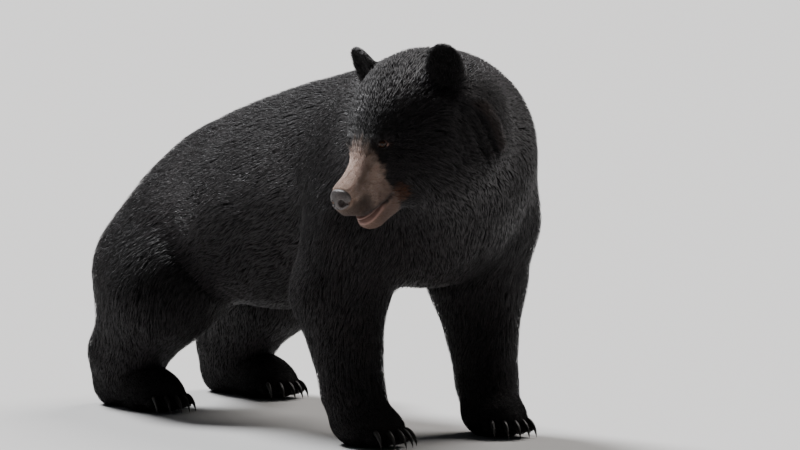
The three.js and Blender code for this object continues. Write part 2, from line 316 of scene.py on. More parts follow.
def within(place: Place, masses: list[Mass]) -> list[Mass]:
    """Brings masses of a frame into the parent's frame, with the lie of their coat.

    Args:
        place: The frame.
        masses: The masses in it.

    Returns:
        The masses in the parent's frame.
    """
    moved = []
    for m in masses:
        lie = tuple(place.aim(np.array([m.pelt.lie]))[0])
        pelt = Pelt(m.pelt.depth * place.scale, m.pelt.length, m.pelt.width, lie)
        moved.append(Within(m.blend * place.scale, pelt, m.cut, m.part, m.rule, m, place))
    return moved


def join(a: np.ndarray, b: np.ndarray, blend: float) -> np.ndarray:
    """Smooth union of two distances over a width of blend."""
    h = np.maximum(blend - np.abs(a - b), 0.0) / blend
    return np.minimum(a, b) - h * h * blend / 4.0


@dataclass
class Flow:
    """Many masses that flow into one form, joined or carved in order.

    The coats of the masses around a point are blended by weights that fall with a reach, and are held
    within the deepest and the farthest distances that count.
    """

    masses: list[Mass]
    reach: float = 14.0
    deepest: float = -300.0
    farthest: float = 1500.0
    least: float = 1e-60

    def distance(self, points: np.ndarray, start: np.ndarray | None = None) -> np.ndarray:
        """Signed distances to the whole form.

        Args:
            points: Places to read.
            start: The distances to a form that the masses are added to, if there is one.

        Returns:
            The distances.
        """
        d = np.full(len(points), FAR) if start is None else start
        for m in self.masses:
            d = m.onto(d, m.near(points))
        return d

    def read(self, points: np.ndarray) -> tuple[np.ndarray, np.ndarray, np.ndarray]:
        """Distances, the coat blended from the masses around, and which part is nearest.

        Args:
            points: Places to read.

        Returns:
            Signed distances, rows of pelt values, and the index of the nearest mass.
        """
        d = np.full(len(points), FAR)
        total = np.full(len(points), self.least)
        pelt = np.zeros((len(points), len(NO_PELT.row)))
        best = np.full(len(points), np.inf)
        owner = np.zeros(len(points), int)
        for i, m in enumerate(self.masses):
            step = m.near(points)
            d = m.onto(d, step)
            if m.cut:
                continue
            weight = m.rule * np.exp(-np.clip(step, self.deepest, self.farthest) / self.reach)
            total += weight
            pelt += weight[:, None] * m.pelt.row
            nearer = step < best
            best[nearer] = step[nearer]
            owner[nearer] = i
        return d, pelt / total[:, None], owner


def slope(surface: Field, points: np.ndarray, step: float = 0.5) -> np.ndarray:
    """The gradient of a field by central differences."""
    ways = np.eye(3) * step
    return np.stack([surface(points + w) - surface(points - w) for w in ways], 1) / (2 * step)


# ---- anatomy


@dataclass
class Anatomy:
    """The bear's flesh and coat as masses: the same forms and sizes as the solids have."""

    withers: float = 800.0
    elbow: float = 310.0
    stance: float = 170.0
    hip_x: float = -815.0
    hind_step: Span = (-70.0, 20.0)
    head: Place = Place((290.0, -246.0, 637.0), (3.0, 37.0, -81.0), 1.03)
    eye_at: Point = (61.8, 43.4, 44.3)
    eye_radius: float = 11.0
    mouth_corner: Span = (104.0, -51.0)
    lip_rise: float = 4.0
    jaw_drop: float = 13.0
    ear_at: Point = (-104.0, 112.0, 92.0)
    ear_lean: float = 20.0
    ear_pitch: float = -10.0
    ear_yaw: Span = (28.0, 14.0)
    ear_skirt: Span = (14.0, 26.0)
    nose: Egg = Egg(centre=(190.0, 0.0, 8.0), radii=(22.0, 34.0, 20.0), turn=(0.0, 14.0, 0.0))

    trunk_coat: Pelt = Pelt(17.0, 46.0, 2.3, (-1.0, 0.0, -0.42))
    rump_coat: Pelt = Pelt(18.0, 48.0, 2.3, (-0.8, 0.0, -0.8))
    chest_coat: Pelt = Pelt(18.0, 48.0, 2.3, (-0.25, 0.0, -1.0))

    @cached_property
    def offset(self) -> np.ndarray:
        """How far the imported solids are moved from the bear's own frame, in millimetres."""
        low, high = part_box("eye_left")
        middle = np.array((low + high) / 2) / MM
        move = middle - np.array(self.head.spot(*self.eye_at))
        return np.array([move[0], move[1], 0.0])

    def hind_x(self, side: int) -> float:
        """Where the hip of a side stands."""
        return self.hip_x + self.hind_step[0 if side > 0 else 1]

    def trunk(self) -> list[Mass]:
        """The barrel, the belly, the rump, the chest and the hump of the withers."""
        hip = self.hip_x + 90
        top = self.withers - 650
        coat, rump, chest = self.trunk_coat, self.rump_coat, self.chest_coat
        return [
            Egg(60, coat, centre=(-190, 0, 527), radii=(330, 226, 224), turn=(0, -4, 0), part="trunk"),
            Egg(80, coat, centre=(-470, 0, 446), radii=(310, 238, 214), turn=(0, -6, 0), part="trunk"),
            Egg(90, coat, centre=(-450, 0, 534), radii=(360, 170, 152), turn=(0, -9, 0), part="trunk"),
            Egg(90, rump, centre=(hip, 0, 418), radii=(209, 184, 184), turn=(0, -24, 0), part="trunk"),
            Egg(80, chest, centre=(50, 0, 490), radii=(170, 205, 171), part="trunk"),
            Egg(80, coat, centre=(-50, 0, 620), radii=(200, 130, top), turn=(0, -8, 0), part="trunk"),
        ]

    def foreleg(self, side: int) -> list[Mass]:
        """Makes the shoulder, the upper arm, the forearm, the wrist and the ball of the paw.

        Args:
            side: 1 for the left side and -1 for the right.

        Returns:
            Their masses.
        """
        y = side * self.stance
        part = "foreleg_left" if side > 0 else "foreleg_right"
        blade = (15, side * 148, 520)
        elbow = (-15, y + side * 8, self.elbow + 15)
        below = (-15, y + side * 6, self.elbow - 10)
        wrist = (60, y - side * 6, 52)
        ball = (66, y - side * 10, 40)
        shoulder = Pelt(17, 44, 2.2, (-0.55, 0, -1))
        arm = Pelt(14, 40, 2.2, (-0.45, 0, -1))
        fore = Pelt(11, 33, 2.1, (-0.3, 0, -1))
        cuff = Pelt(7, 20, 1.9, (0.2, 0, -1))
        paw = Pelt(4, 12, 1.6, (1, 0, -0.55))
        return [
            Egg(70, shoulder, centre=blade, radii=(145, 90, 190), turn=(0, 12, 0), part=part),
            Limb(60, arm, start=(40, y, 440), end=elbow, r0=102, r1=98, part=part),
            Limb(40, fore, start=below, end=(25, y, 110), r0=96, r1=64, part=part),
            Limb(30, cuff, start=(25, y, 105), end=wrist, r0=60, r1=52, part=part),
            Egg(30, paw, centre=ball, radii=(92, 62, 46), turn=(0, 0, -side * 8), part=part),
        ]

    def hindleg(self, side: int) -> list[Mass]:
        """Makes the thigh, the knee, the shank, the heel, the sole and the ball of the paw.

        Args:
            side: 1 for the left side and -1 for the right.

        Returns:
            Their masses.
        """
        y = side * self.stance
        x = self.hind_x(side)
        part = "hindleg_left" if side > 0 else "hindleg_right"
        groin, knee = (x - 10, y - side * 20, 300), (x + 110, y + side * 8, 268)
        below, hock = (x + 75, y + side * 8, 258), (x - 62, y, 120)
        heel_end, ball = (x - 86, y, 56), (x + 62, y + side * 8, 38)
        thigh = Pelt(17, 46, 2.3, (-0.5, 0, -1))
        shank = Pelt(13, 37, 2.2, (-0.45, 0, -1))
        heel = Pelt(8, 22, 2.0, (0, 0, -1))
        sole = Pelt(6, 16, 1.8, (0.7, 0, -1))
        paw = Pelt(4, 12, 1.6, (1, 0, -0.5))
        haunch = (x + 28, side * 122, 334)
        return [
            Egg(80, thigh, centre=haunch, radii=(152, 105, 168), turn=(0, 18, 0), part=part),
            Limb(70, thigh, start=groin, end=knee, r0=127, r1=112, part=part),
            Limb(60, shank, start=below, end=hock, r0=114, r1=88, part=part),
            Limb(30, heel, start=(x - 70, y, 115), end=heel_end, r0=80, r1=66, part=part),
            Limb(30, sole, start=(x - 90, y, 50), end=(x + 50, y + side * 6, 40), r0=54, r1=54, part=part),
            Egg(30, paw, centre=ball, radii=(88, 60, 44), part=part),
        ]

    def tail(self) -> list[Mass]:
        """The short tail that hangs against the rump."""
        coat = Pelt(10, 30, 2.2, (-0.05, 0, -1))
        return [Limb(34, coat, start=(-960, 0, 440), end=(-992, 0, 372), r0=36, r1=26, part="trunk")]

    def neck(self) -> list[Mass]:
        """Three thick rods from the shoulders to the back of the skull."""
        crest, gullet = self.head.spot(-90, 0, -40), self.head.spot(-70, 0, -60)
        nape = Pelt(17, 44, 2.2, (-0.8, 0.75, -0.35))
        side = Pelt(18, 46, 2.2, (-0.7, 0.45, -0.8))
        throat = Pelt(18, 48, 2.3, (-0.35, 0.35, -1))
        return [
            Limb(80, side, start=(40, 0, 565), end=(150, -30, 595), r0=205, r1=188, part="neck"),
            Limb(80, nape, start=(90, -10, 625), end=crest, r0=176, r1=162, part="neck"),
            Limb(80, throat, start=(120, -30, 550), end=gullet, r0=150, r1=105, part="neck"),
        ]

    def skull(self) -> list[Mass]:
        """Cranium, brow, cheeks, muzzle, lips and lower jaw, in the head's frame."""
        crown = Pelt(6, 12, 1.25, (-1, 0, -0.1))
        brow = Pelt(4.5, 11, 1.5, (-1, 0, 0.15))
        muzzle = Pelt(2.2, 7, 1.15, (-1, 0, 0))
        tip = Pelt(1.4, 4.5, 1.0, (-1, 0, 0))
        chin = Pelt(3, 9, 1.2, (-1, 0, -0.35))
        masses = [
            Egg(50, crown, centre=(-54, 0, 23), radii=(118, 98, 95), turn=(0, 8, 0), part="head"),
            Egg(40, brow, centre=(2, 0, 34), radii=(80, 58, 52), turn=(0, 8, 0), part="head"),
        ]
        for s in SIDES:
            cheek = Pelt(10, 22, 1.7, (-1, s * 0.35, -0.35))
            jowl = Pelt(13, 30, 1.9, (-1, s * 0.35, -0.6))
            masses += [
                Egg(40, cheek, centre=(-28, s * 62, -20), radii=(80, 50, 66), part="head"),
                Egg(40, jowl, centre=(-72, s * 76, -44), radii=(78, 52, 70), part="head"),
                Egg(24, brow, centre=(44, s * 30, 42), radii=(29, 21, 21), part="head"),
            ]
        masses += [
            Limb(32, muzzle, start=(66, 0, 6), end=(156, 0, -8), r0=41, r1=34, part="muzzle"),
            Egg(20, tip, centre=(166, 0, -6), radii=(31, 29, 30), part="muzzle"),
        ]
        for s in SIDES:
            lip = Pelt(2.0, 6.5, 1.15, (-1, 0, -0.25))
            masses.append(Egg(18, lip, centre=(126, s * 22, -34), radii=(54, 19, 20), part="muzzle"))
        return masses + [
            Limb(26, chin, start=(0, 0, -68), end=(134, 0, -69), r0=50, r1=28, part="muzzle"),
            Egg(16, chin, centre=(144, 0, -70), radii=(27, 27, 20), part="muzzle"),
        ]

    def ears(self) -> list[Mass]:
        """Round cups that open forward and outward, in the head's frame."""
        masses = []
        x, y, z = self.ear_at
        for s, yaw, skirt in zip(SIDES, self.ear_yaw, self.ear_skirt):
            root = Pelt(6, 16, 1.7, (-0.4, s * 0.45, 1))
            coat = Pelt(3.5, 12, 1.5, (-0.25, s * 0.45, 1))
            place = Place((x, s * y, z), (-s * self.ear_lean, self.ear_pitch, s * yaw))
            cup = place.spot(17, 0, 3)
            masses += [
                Egg(20, root, centre=(-106, s * 102, 58), radii=(32, 40, 34), part="ears"),
                Egg(14, root, centre=(-112, s * 84, 74), radii=(18, skirt, skirt), part="ears"),
                Egg(18, coat, centre=place.at, radii=(17, 41, 54), turn=place.turn, part="ears"),
                Egg(12, centre=cup, radii=(14, 29, 41), turn=place.turn, cut=True),
            ]
        return masses

    @cached_property
    def cups(self) -> list[Mass]:
        """The hollows of the ears, in the head's frame."""
        return [m for m in self.ears() if m.cut]

    @staticmethod
    def fold(i: float, out: float, r: float, pelt: Pelt, cut: bool = False) -> list[Mass]:
        """A fold or a crease of the loose skin that runs from behind the left ear down the turned neck.

        Args:
            i: Its number, from 0 for the rearmost on forward.
            out: How far outside the cheek it runs.
            r: Its radius at the lower end.
            pelt: Its coat.
            cut: Whether it is a crease.

        Returns:
            Its masses, in the head's frame.
        """
        ear = (-86 + 8 * i, 133 + i + out, 30 - 4 * i)
        bend = (-113 + 27 * i, 143 + i + out, -3 * i)
        cheek = (-107 + 29 * i, 149 + out, -45)
        end = (-103 + 29 * i, 141 + 2 * i + out, -95 + 10 * i)
        ends = zip(((ear, 0.5 * r), (bend, 0.9 * r), (cheek, r)), ((bend, 0.9 * r), (cheek, r), (end, r)))
        return [
            Limb(7, pelt, cut, "head", rule=8.0, start=start, end=stop, r0=r0, r1=r1)
            for (start, r0), (stop, r1) in ends
        ]

    @cached_property
    def ridges(self) -> list[Mass]:
        """Three folds behind the left ear, in the head's frame."""
        coat = Pelt(7, 16, 1.5, (-0.3, 0.1, -1))
        return [m for i in range(3) for m in self.fold(i, 6, 12.5 - 1.5 * i, coat)]

    def folds(self) -> list[Mass]:
        """The folds with a crease before each."""
        creases = [m for i in range(3) for m in self.fold(i + 0.5, 5, 7.5, NO_PELT, cut=True)]
        return [*self.ridges, *creases]

    @cached_property
    def paws(self) -> list["Paw"]:
        """The four paws."""
        paws = []
        for s in SIDES:
            y = s * self.stance
            side = "left" if s > 0 else "right"
            paws.append(Paw(f"forepaw_{side}", Place((66, y - s * 10, 40), (0, 0, -s * 8)), 96))
            paws.append(Paw(f"hindpaw_{side}", Place((self.hind_x(s) + 62, y + s * 8, 38)), 92))
        return paws

    def body(self) -> list[Mass]:
        """All masses of the coat's outside but the ears and the toes."""
        legs = both(lambda s: [*self.foreleg(s), *self.hindleg(s)])
        return [*self.trunk(), *legs, *self.neck(), *within(self.head, self.skull())]

    @cached_property
    def coat(self) -> Flow:
        """The outside of the coat."""
        toes = [toe for paw in self.paws for toe in paw.toes()]
        loose = within(self.head, [*self.folds(), *self.ears()])
        return Flow([*self.body(), *self.tail(), *loose, *toes])


@dataclass(frozen=True)
class Paw:
    """Where the toes and claws of a paw are, from the middle of its ball.

    The toes fan out by a turn and a step back from one to the next. Their middles are set by how far they
    are ahead of the toe's own line and how high they are.
    """

    name: str
    ball: Place
    reach: float
    spacing: float = 22.0
    fan: float = 7.0
    toe_at: Span = (-22.0, 24.0)
    toe_radii: Point = (25.0, 14.0, 17.0)
    toe_pitch: float = 12.0

    def spots(self, dx: float, z: float) -> list[tuple[Point, float]]:
        """A place and a yaw for each of the five toes.

        Args:
            dx: How far ahead of the toe's own line the places are.
            z: Their height over the floor.

        Returns:
            The places and the yaws in degrees.
        """
        found = []
        for k in range(-2, 3):
            ahead = self.reach - abs(k) ** 1.6 * self.fan + dx
            at = self.ball.spot(ahead, k * self.spacing, z - self.ball.at[2])
            found.append((at, self.ball.turn[2] + k * self.fan))
        return found

    def toes(self) -> list[Mass]:
        """The toes as masses."""
        coat = Pelt(3.5, 10, 1.5, (1, 0, -0.6))
        part = ("foreleg" if self.name.startswith("fore") else "hindleg") + self.name[7:]
        return [
            Egg(9, coat, centre=at, radii=self.toe_radii, turn=(0, self.toe_pitch, yaw), part=part)
            for at, yaw in self.spots(*self.toe_at)
        ]


# ---- meshing


@dataclass
class Net:
    """Surface nets on a grid of blocks, whose cells are finer where the form is finer."""

    low: Point
    high: Point
    block: float
    halvings: int = 0
    band: float = 1.5

    def build(self, surface: Field, rank_of: Field = lambda middles: np.zeros(len(middles))) -> "Soup":
        """Meshes the zero level of a field.

        Args:
            surface: The signed distance.
            rank_of: Gives each block's rank from its middle: 0 has the finest cells, halvings the
                coarsest.

        Returns:
            The triangles of the surface.
        """
        low = np.array(self.low)
        count = np.ceil((np.array(self.high) - low) / self.block).astype(int)
        cells = 2**self.halvings
        fine = self.block / cells
        grid = np.stack(np.meshgrid(*[np.arange(c) for c in count], indexing="ij"), -1).reshape(-1, 3)
        middles = low + (grid + 0.5) * self.block
        kept = np.abs(surface(middles)) < self.band * self.block
        ranks = np.full(count, -1, np.int8)
        ranks[tuple(grid[kept].T)] = rank_of(middles[kept])
        span = count * cells + 1
        strides = np.array([span[1] * span[2], span[2], 1])
        crossings, owners = [], []
        for rank in range(self.halvings + 1):
            step = 2**rank
            local = np.arange(0, cells + 1, step)
            local = np.stack(np.meshgrid(local, local, local, indexing="ij"), -1).reshape(-1, 3)
            points = (np.argwhere(ranks == rank)[:, None] * cells + local[None]).reshape(-1, 3)
            if not len(points):
                continue
            keys, first = np.unique(points @ strides, return_index=True)
            points = points[first]
            values = surface(low + points * fine)
            for axis in range(3):
                ahead = keys + step * strides[axis]
                spot = np.searchsorted(keys, ahead) % len(keys)
                a = np.flatnonzero((keys[spot] == ahead) & ((values < 0) != (values[spot] < 0)))
                b = spot[a]
                cross = points[a].astype(float)
                cross[:, axis] += step * values[a] / (values[a] - values[b])
                u, v = np.roll(np.eye(3, dtype=int), axis, 1)[[1, 2]] * step
                around = np.stack([points[a] - u - v, points[a] - v, points[a], points[a] - u], 1)
                its = ranks[tuple(np.moveaxis(around // cells, -1, 0))].astype(int)
                its[its < 0] = self.halvings
                ok = its.min(1) == rank
                size = (2**its[ok])[..., None]
                owner = (around[ok] // size * size) @ strides * (self.halvings + 1) + its[ok]
                turned = values[a][ok] >= 0
                owner[turned] = owner[turned][:, ::-1]
                crossings.append(cross[ok])
                owners.append(owner)
        cross = np.concatenate(crossings)
        _, index = np.unique(np.concatenate(owners), return_inverse=True)
        index = index.reshape(-1, 4)
        total = np.bincount(index.ravel())
        points = np.stack([np.bincount(index.ravel(), np.repeat(c, 4)) / total for c in cross.T], 1)
        return Soup(low + points * fine, self.split(points, index))

    @staticmethod
    def split(points: np.ndarray, quads: np.ndarray) -> np.ndarray:
        """Parts quads along their shorter diagonals.

        Args:
            points: The corners.
            quads: Four corners of each quad.

        Returns:
            The triangles, without those that have two corners alike.
        """
        first = lengths(points[quads[:, 0]] - points[quads[:, 2]])
        second = lengths(points[quads[:, 1]] - points[quads[:, 3]])
        turned = np.where(first <= second, quads, np.roll(quads, -1, 1))
        faces = np.concatenate([turned[:, [0, 1, 2]], turned[:, [0, 2, 3]]])
        distinct = (faces != np.roll(faces, 1, 1)).all(1)
        return faces[distinct]


@dataclass
class Soup:
    """Points in millimetres and the triangles between them."""

    points: np.ndarray
    faces: np.ndarray

    def settle(self, surface: Field, most: float, rounds: int = 2, flattest: float = 0.2) -> None:
        """Moves the points onto a field's zero level.

        Args:
            surface: The field.
            most: How far a point may move in a round.
            rounds: How many rounds there are.
            flattest: The least square of a slope that counts.
        """
        for _ in range(rounds):
            way = slope(surface, self.points)
            move = -surface(self.points)[:, None] * way / np.maximum((way**2).sum(1), flattest)[:, None]
            self.points = self.points + move * np.minimum(1.0, most / np.maximum(lengths(move), TINY))

    def normals(self) -> np.ndarray:
        """Area-weighted normals at the points."""
        a, b, c = (self.points[self.faces[:, k]] for k in range(3))
        crossed = np.cross(b - a, c - a)
        total = np.zeros_like(self.points)
        for k in range(3):
            for q in range(3):
                total[:, q] += np.bincount(self.faces[:, k], crossed[:, q], len(self.points))
        return unit(total)

    def areas(self) -> np.ndarray:
        """Areas of the triangles."""
        a, b, c = (self.points[self.faces[:, k]] for k in range(3))
        return lengths(np.cross(b - a, c - a))[:, 0] / 2


def mesh_object(
    name: str, soup: Soup, offset: np.ndarray, marks: dict[str, np.ndarray]
) -> bpy.types.Object:
    """A smooth mesh object in metres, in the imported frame.

    Args:
        name: The piece's name.
        soup: Its points and triangles in millimetres.
        offset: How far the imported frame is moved, in millimetres.
        marks: Values for each point by attribute name, as rows of three.

    Returns:
        The object, linked to the scene.
    """
    mesh = bpy.data.meshes.new(name)
    mesh.vertices.add(len(soup.points))
    mesh.vertices.foreach_set("co", ((soup.points + offset) * MM).astype(np.float32).ravel())
    mesh.loops.add(soup.faces.size)
    mesh.loops.foreach_set("vertex_index", soup.faces.astype(np.int32).ravel())
    mesh.polygons.add(len(soup.faces))
    mesh.polygons.foreach_set("loop_start", np.arange(0, soup.faces.size, 3, dtype=np.int32))
    for label, rows in marks.items():
        attribute = mesh.attributes.new(label, "FLOAT_VECTOR", "POINT")
        attribute.data.foreach_set("vector", rows.astype(np.float32).ravel())
    mesh.update(calc_edges=True)
    mesh.validate()
    mesh.shade_smooth()
    made = bpy.data.objects.new(name, mesh)
    bpy.context.scene.collection.objects.link(made)
    return made


# ---- skin


@dataclass
class Face:
    """The fine forms of the head's skin: lids, mouth, lips and the bed of the nose, in the head's frame.

    A span gives the distances at which a mark is 0 and full, in either order. The run of the lower lip is
    given from the corner of the mouth, the spot of pink skin from the eye.
    """

    anatomy: Anatomy
    lid_thickness: float = 2.0
    eye_width: float = 12.0
    eye_height: float = 7.4
    gaze: Point = (0.0, -12.0, 44.0)
    socket_ahead: float = 9.0
    socket_radii: Point = (13.0, 15.0, 12.0)
    lid_gap: float = 0.25
    lid_rim: Span = (3.6, 1.4)
    lid_reach: Span = (20.0, 16.0)
    tear_at: Point = (8.0, 9.0, -6.0)
    tear_size: Span = (5.0, 2.5)
    tear_bare: float = 3.0
    lip_band: Span = (6.5, 3.5)
    lip_inside: Span = (-5.0, -1.5)
    lip_ahead: Span = (2.0, 12.0)
    lip_radius: float = 4.4
    lip_run: tuple[Point, ...] = ((6, 31, -6), (24, 27, -11.5), (40, 21, -16), (58, 6, -20))
    edge_band: Span = (9.0, 2.0)
    edge_inside: Span = (-4.0, -1.0)
    edge_ahead: Span = (-4.0, 6.0)
    corner_ahead: float = 2.0
    corner_size: Span = (9.0, 4.0)
    mouth_edge: Span = (2.2, 0.4)
    pad_edge: Span = (1.5, -1.5)
    bed_depth: float = 2.5
    reach: float = 230.0

    def close(self, local: np.ndarray) -> np.ndarray:
        """Whether each point of the head's frame is on the head."""
        return lengths(local)[:, 0] < self.reach

    def eye_place(self, side: int) -> Place:
        """The frame of an eye: +X looks out."""
        x, y, z = self.anatomy.eye_at
        return Place((x, side * y, z), (side * self.gaze[0], self.gaze[1], side * self.gaze[2]))

    def opening(self, side: int) -> Almond:
        """The gap between the lids of an eye."""
        place = self.eye_place(side)
        return Almond(1.6, cut=True, half_width=self.eye_width, half_height=self.eye_height, place=place)

    @cached_property
    def mouth(self) -> Wedge:
        """The gap between the lips."""
        x, z = self.anatomy.mouth_corner
        upper = Place((x, 0, z), (0, -self.anatomy.lip_rise, 0))
        lower = Place((x, 0, z), (0, self.anatomy.jaw_drop, 0))
        return Wedge(3.0, cut=True, upper=upper, lower=lower)

    def lids(self, side: int) -> list[Mass]:
        """Makes a lid dome over an eye, hollowed for the eyeball and opened between its edges.

        Args:
            side: 1 for the left side and -1 for the right.

        Returns:
            Its masses in order.
        """
        place = self.eye_place(side)
        radius = self.anatomy.eye_radius
        dome = radius + self.lid_thickness
        socket = place.spot(self.socket_ahead, 0.0, 0.0)
        return [
            Egg(12.0, cut=True, centre=socket, radii=self.socket_radii, turn=place.turn),
            Egg(8.0, centre=place.at, radii=(dome,) * 3),
            Egg(0.8, cut=True, centre=place.at, radii=(radius + self.lid_gap,) * 3),
            self.opening(side),
        ]

    def lips(self, side: int) -> list[Mass]:
        """Makes the rolled rim of the lower lip on one side, from the corner to the chin.

        Args:
            side: 1 for the left side and -1 for the right.

        Returns:
            Its masses.
        """
        x, z = self.anatomy.mouth_corner
        r = self.lip_radius
        spots = [(x + dx, side * y, z + dz) for dx, y, dz in self.lip_run]
        return [Limb(5.0, start=start, end=end, r0=r, r1=r) for start, end in zip(spots, spots[1:])]

    @cached_property
    def forms(self) -> list[Mass]:
        """All fine forms in order."""
        nose = self.anatomy.nose
        bed = replace(nose, radii=tuple(r - self.bed_depth for r in nose.radii), blend=1.0, cut=True)
        return [*both(self.lids), self.mouth, *both(self.lips), bed]

    def shape(self, local: np.ndarray, d: np.ndarray) -> np.ndarray:
        """Adds the fine forms to a distance.

        Args:
            local: Points in the head's frame.
            d: The plain skin's distance there, in the head's own units.

        Returns:
            The distance with the fine forms.
        """
        return Flow(self.forms).distance(local, d)

    def lower_lip(self, local: np.ndarray) -> np.ndarray:
        """How much each point is on the bare lower lip.

        Args:
            local: Points in the head's frame.

        Returns:
            Values from 0 to 1.
        """
        under = -self.mouth.lower.back(local)[:, 2]
        ahead = smooth(*self.lip_ahead, local[:, 0] - self.anatomy.mouth_corner[0])
        band = smooth(*self.lip_band, under) * smooth(*self.lip_inside, under)
        return band * ahead * self.close(local)

    def upper_lip(self, local: np.ndarray) -> np.ndarray:
        """How much each point is on the dark edge of the upper lip.

        Args:
            local: Points in the head's frame.

        Returns:
            Values from 0 to 1.
        """
        x, z = self.anatomy.mouth_corner
        over = self.mouth.upper.back(local)[:, 2]
        edge = smooth(*self.edge_band, over) * smooth(*self.edge_inside, over)
        ahead = smooth(*self.edge_ahead, local[:, 0] - x)
        corner = np.hypot(local[:, 0] - x - self.corner_ahead, local[:, 2] - z)
        return np.maximum(edge * ahead, smooth(*self.corner_size, corner)) * self.close(local)

    def rims(self, local: np.ndarray) -> np.ndarray:
        """How much each point is on the rim of a lid.

        Args:
            local: Points in the head's frame.

        Returns:
            Values from 0 to 1.
        """
        found = []
        for side in SIDES:
            opening = self.opening(side)
            far = lengths(local - np.array(opening.place.at))[:, 0]
            found.append(smooth(*self.lid_rim, opening.near(local)) * smooth(*self.lid_reach, far))
        return np.max(found, 0)

    def blush(self, local: np.ndarray) -> np.ndarray:
        """How much each point is on the pink skin at the rear corner under an eye.

        Args:
            local: Points in the head's frame.

        Returns:
            Values from 0 to 1.
        """
        x, y, z = self.tear_at
        spots = [self.eye_place(side).spot(x, side * y, z) for side in SIDES]
        return np.max([smooth(*self.tear_size, lengths(local - np.array(at))[:, 0]) for at in spots], 0)

    def bare(self, local: np.ndarray) -> np.ndarray:
        """How bare of fur the skin is.

        Args:
            local: Points in the head's frame.

        Returns:
            Values from 0 to 1.
        """
        inside = smooth(*self.mouth_edge, self.mouth.near(local))
        pad = smooth(*self.pad_edge, self.anatomy.nose.near(local))
        covered = inside + pad + self.rims(local) + self.lower_lip(local)
        return np.clip(covered + self.tear_bare * self.blush(local), 0.0, 1.0) * self.close(local)


@dataclass
class Skin:
    """One skin over all the flesh, that lies inside the coat by its depth.

    The sizes say how far round the toes, the eyes, the cheeks, the ears and the face the net is finer. The
    mouth's part of it starts behind the corner and runs from under it to over it. The skin is bare where it
    rests on the floor.
    """

    anatomy: Anatomy
    face: Face
    low: Point = (-1100.0, -480.0, -40.0)
    high: Point = (480.0, 420.0, 930.0)
    block: float = 10.0
    halvings: int = 3
    head_reach: float = 260.0
    floor_gap: float = 0.4
    foot_height: float = 85.0
    toe_size: float = 34.0
    eye_size: float = 27.0
    cheek_size: float = 210.0
    ear_from: Span = (70.0, 20.0)
    ear_size: float = 240.0
    face_from: float = -20.0
    face_size: float = 230.0
    mouth_from: Point = (-12.0, -32.0, 22.0)
    hair_tone: Point = (0.0, 0.4, 0.0)
    sole_height: Span = (4.0, 2.0)
    sole_slope: float = -0.4

    def surface(self, points: np.ndarray) -> np.ndarray:
        """Signed distances to the skin.

        Args:
            points: Places in the bear's frame.

        Returns:
            The distances.
        """
        d, pelt, _ = self.anatomy.coat.read(points)
        d = d + pelt[:, 0]
        head = self.anatomy.head
        near = lengths(points - np.array(head.at))[:, 0] < self.head_reach
        d[near] = self.face.shape(head.back(points[near]), d[near] / head.scale) * head.scale
        return np.maximum(d, self.floor_gap - points[:, 2])

    def rank_of(self, middles: np.ndarray) -> np.ndarray:
        """Ranks of blocks: fine on the face and the toes, coarse on the trunk.

        Args:
            middles: The blocks' middles.

        Returns:
            The ranks, from 0 for the finest.
        """
        local = self.anatomy.head.back(middles)
        x, y, z = local.T
        far = lengths(local)[:, 0]
        rank = np.full(len(middles), self.halvings)
        rank[(far < self.cheek_size) | (middles[:, 2] < self.foot_height)] = 2
        for paw in self.anatomy.paws:
            for at, _ in paw.spots(*paw.toe_at):
                rank[lengths(middles - np.array(at))[:, 0] < self.toe_size] = 1
        ears = (np.abs(y) > self.ear_from[0]) & (z > self.ear_from[1]) & (far < self.ear_size)
        face = far < self.face_size
        rank[(x > self.face_from) & face | ears] = 1
        for side in SIDES:
            rank[lengths(local - np.array(self.face.eye_place(side).at))[:, 0] < self.eye_size] = 0
        ahead, over = x - self.anatomy.mouth_corner[0], z - self.anatomy.mouth_corner[1]
        behind, low, high = self.mouth_from
        rank[(ahead > behind) & (over > low) & (over < high) & face] = 0
        return rank

    def build(self) -> Soup:
        """Meshes the skin."""
        soup = Net(self.low, self.high, self.block, self.halvings).build(self.surface, self.rank_of)
        soup.settle(self.surface, 0.8)
        return soup

    def bare(self, soup: Soup) -> np.ndarray:
        """How bare of fur the skin is, also where it rests on the floor.

        Args:
            soup: The skin's mesh.

        Returns:
            For each point a value from 0 to 1.
        """
        bare = self.face.bare(self.anatomy.head.back(soup.points))
        sole = smooth(*self.sole_height, soup.points[:, 2]) * (soup.normals()[:, 2] < self.sole_slope)
        return np.maximum(bare, sole)

    def dressed(self, soup: Soup, markings: "Markings") -> bpy.types.Object:
        """Makes the skin's piece, with its markings and the flat hair on it.

        Args:
            soup: The skin's mesh.
            markings: Where the coat changes colour.

        Returns:
            The piece, without a material.
        """
        _, pelt, _ = self.anatomy.coat.read(soup.points)
        lie = unit(across(pelt[:, 3:], soup.normals()))
        strand = np.tile(self.hair_tone, (len(soup.points), 1))
        marks = {**markings.at(soup.points), STRAND: strand, LIE: lie}
        return mesh_object("skin", soup, self.anatomy.offset, marks)


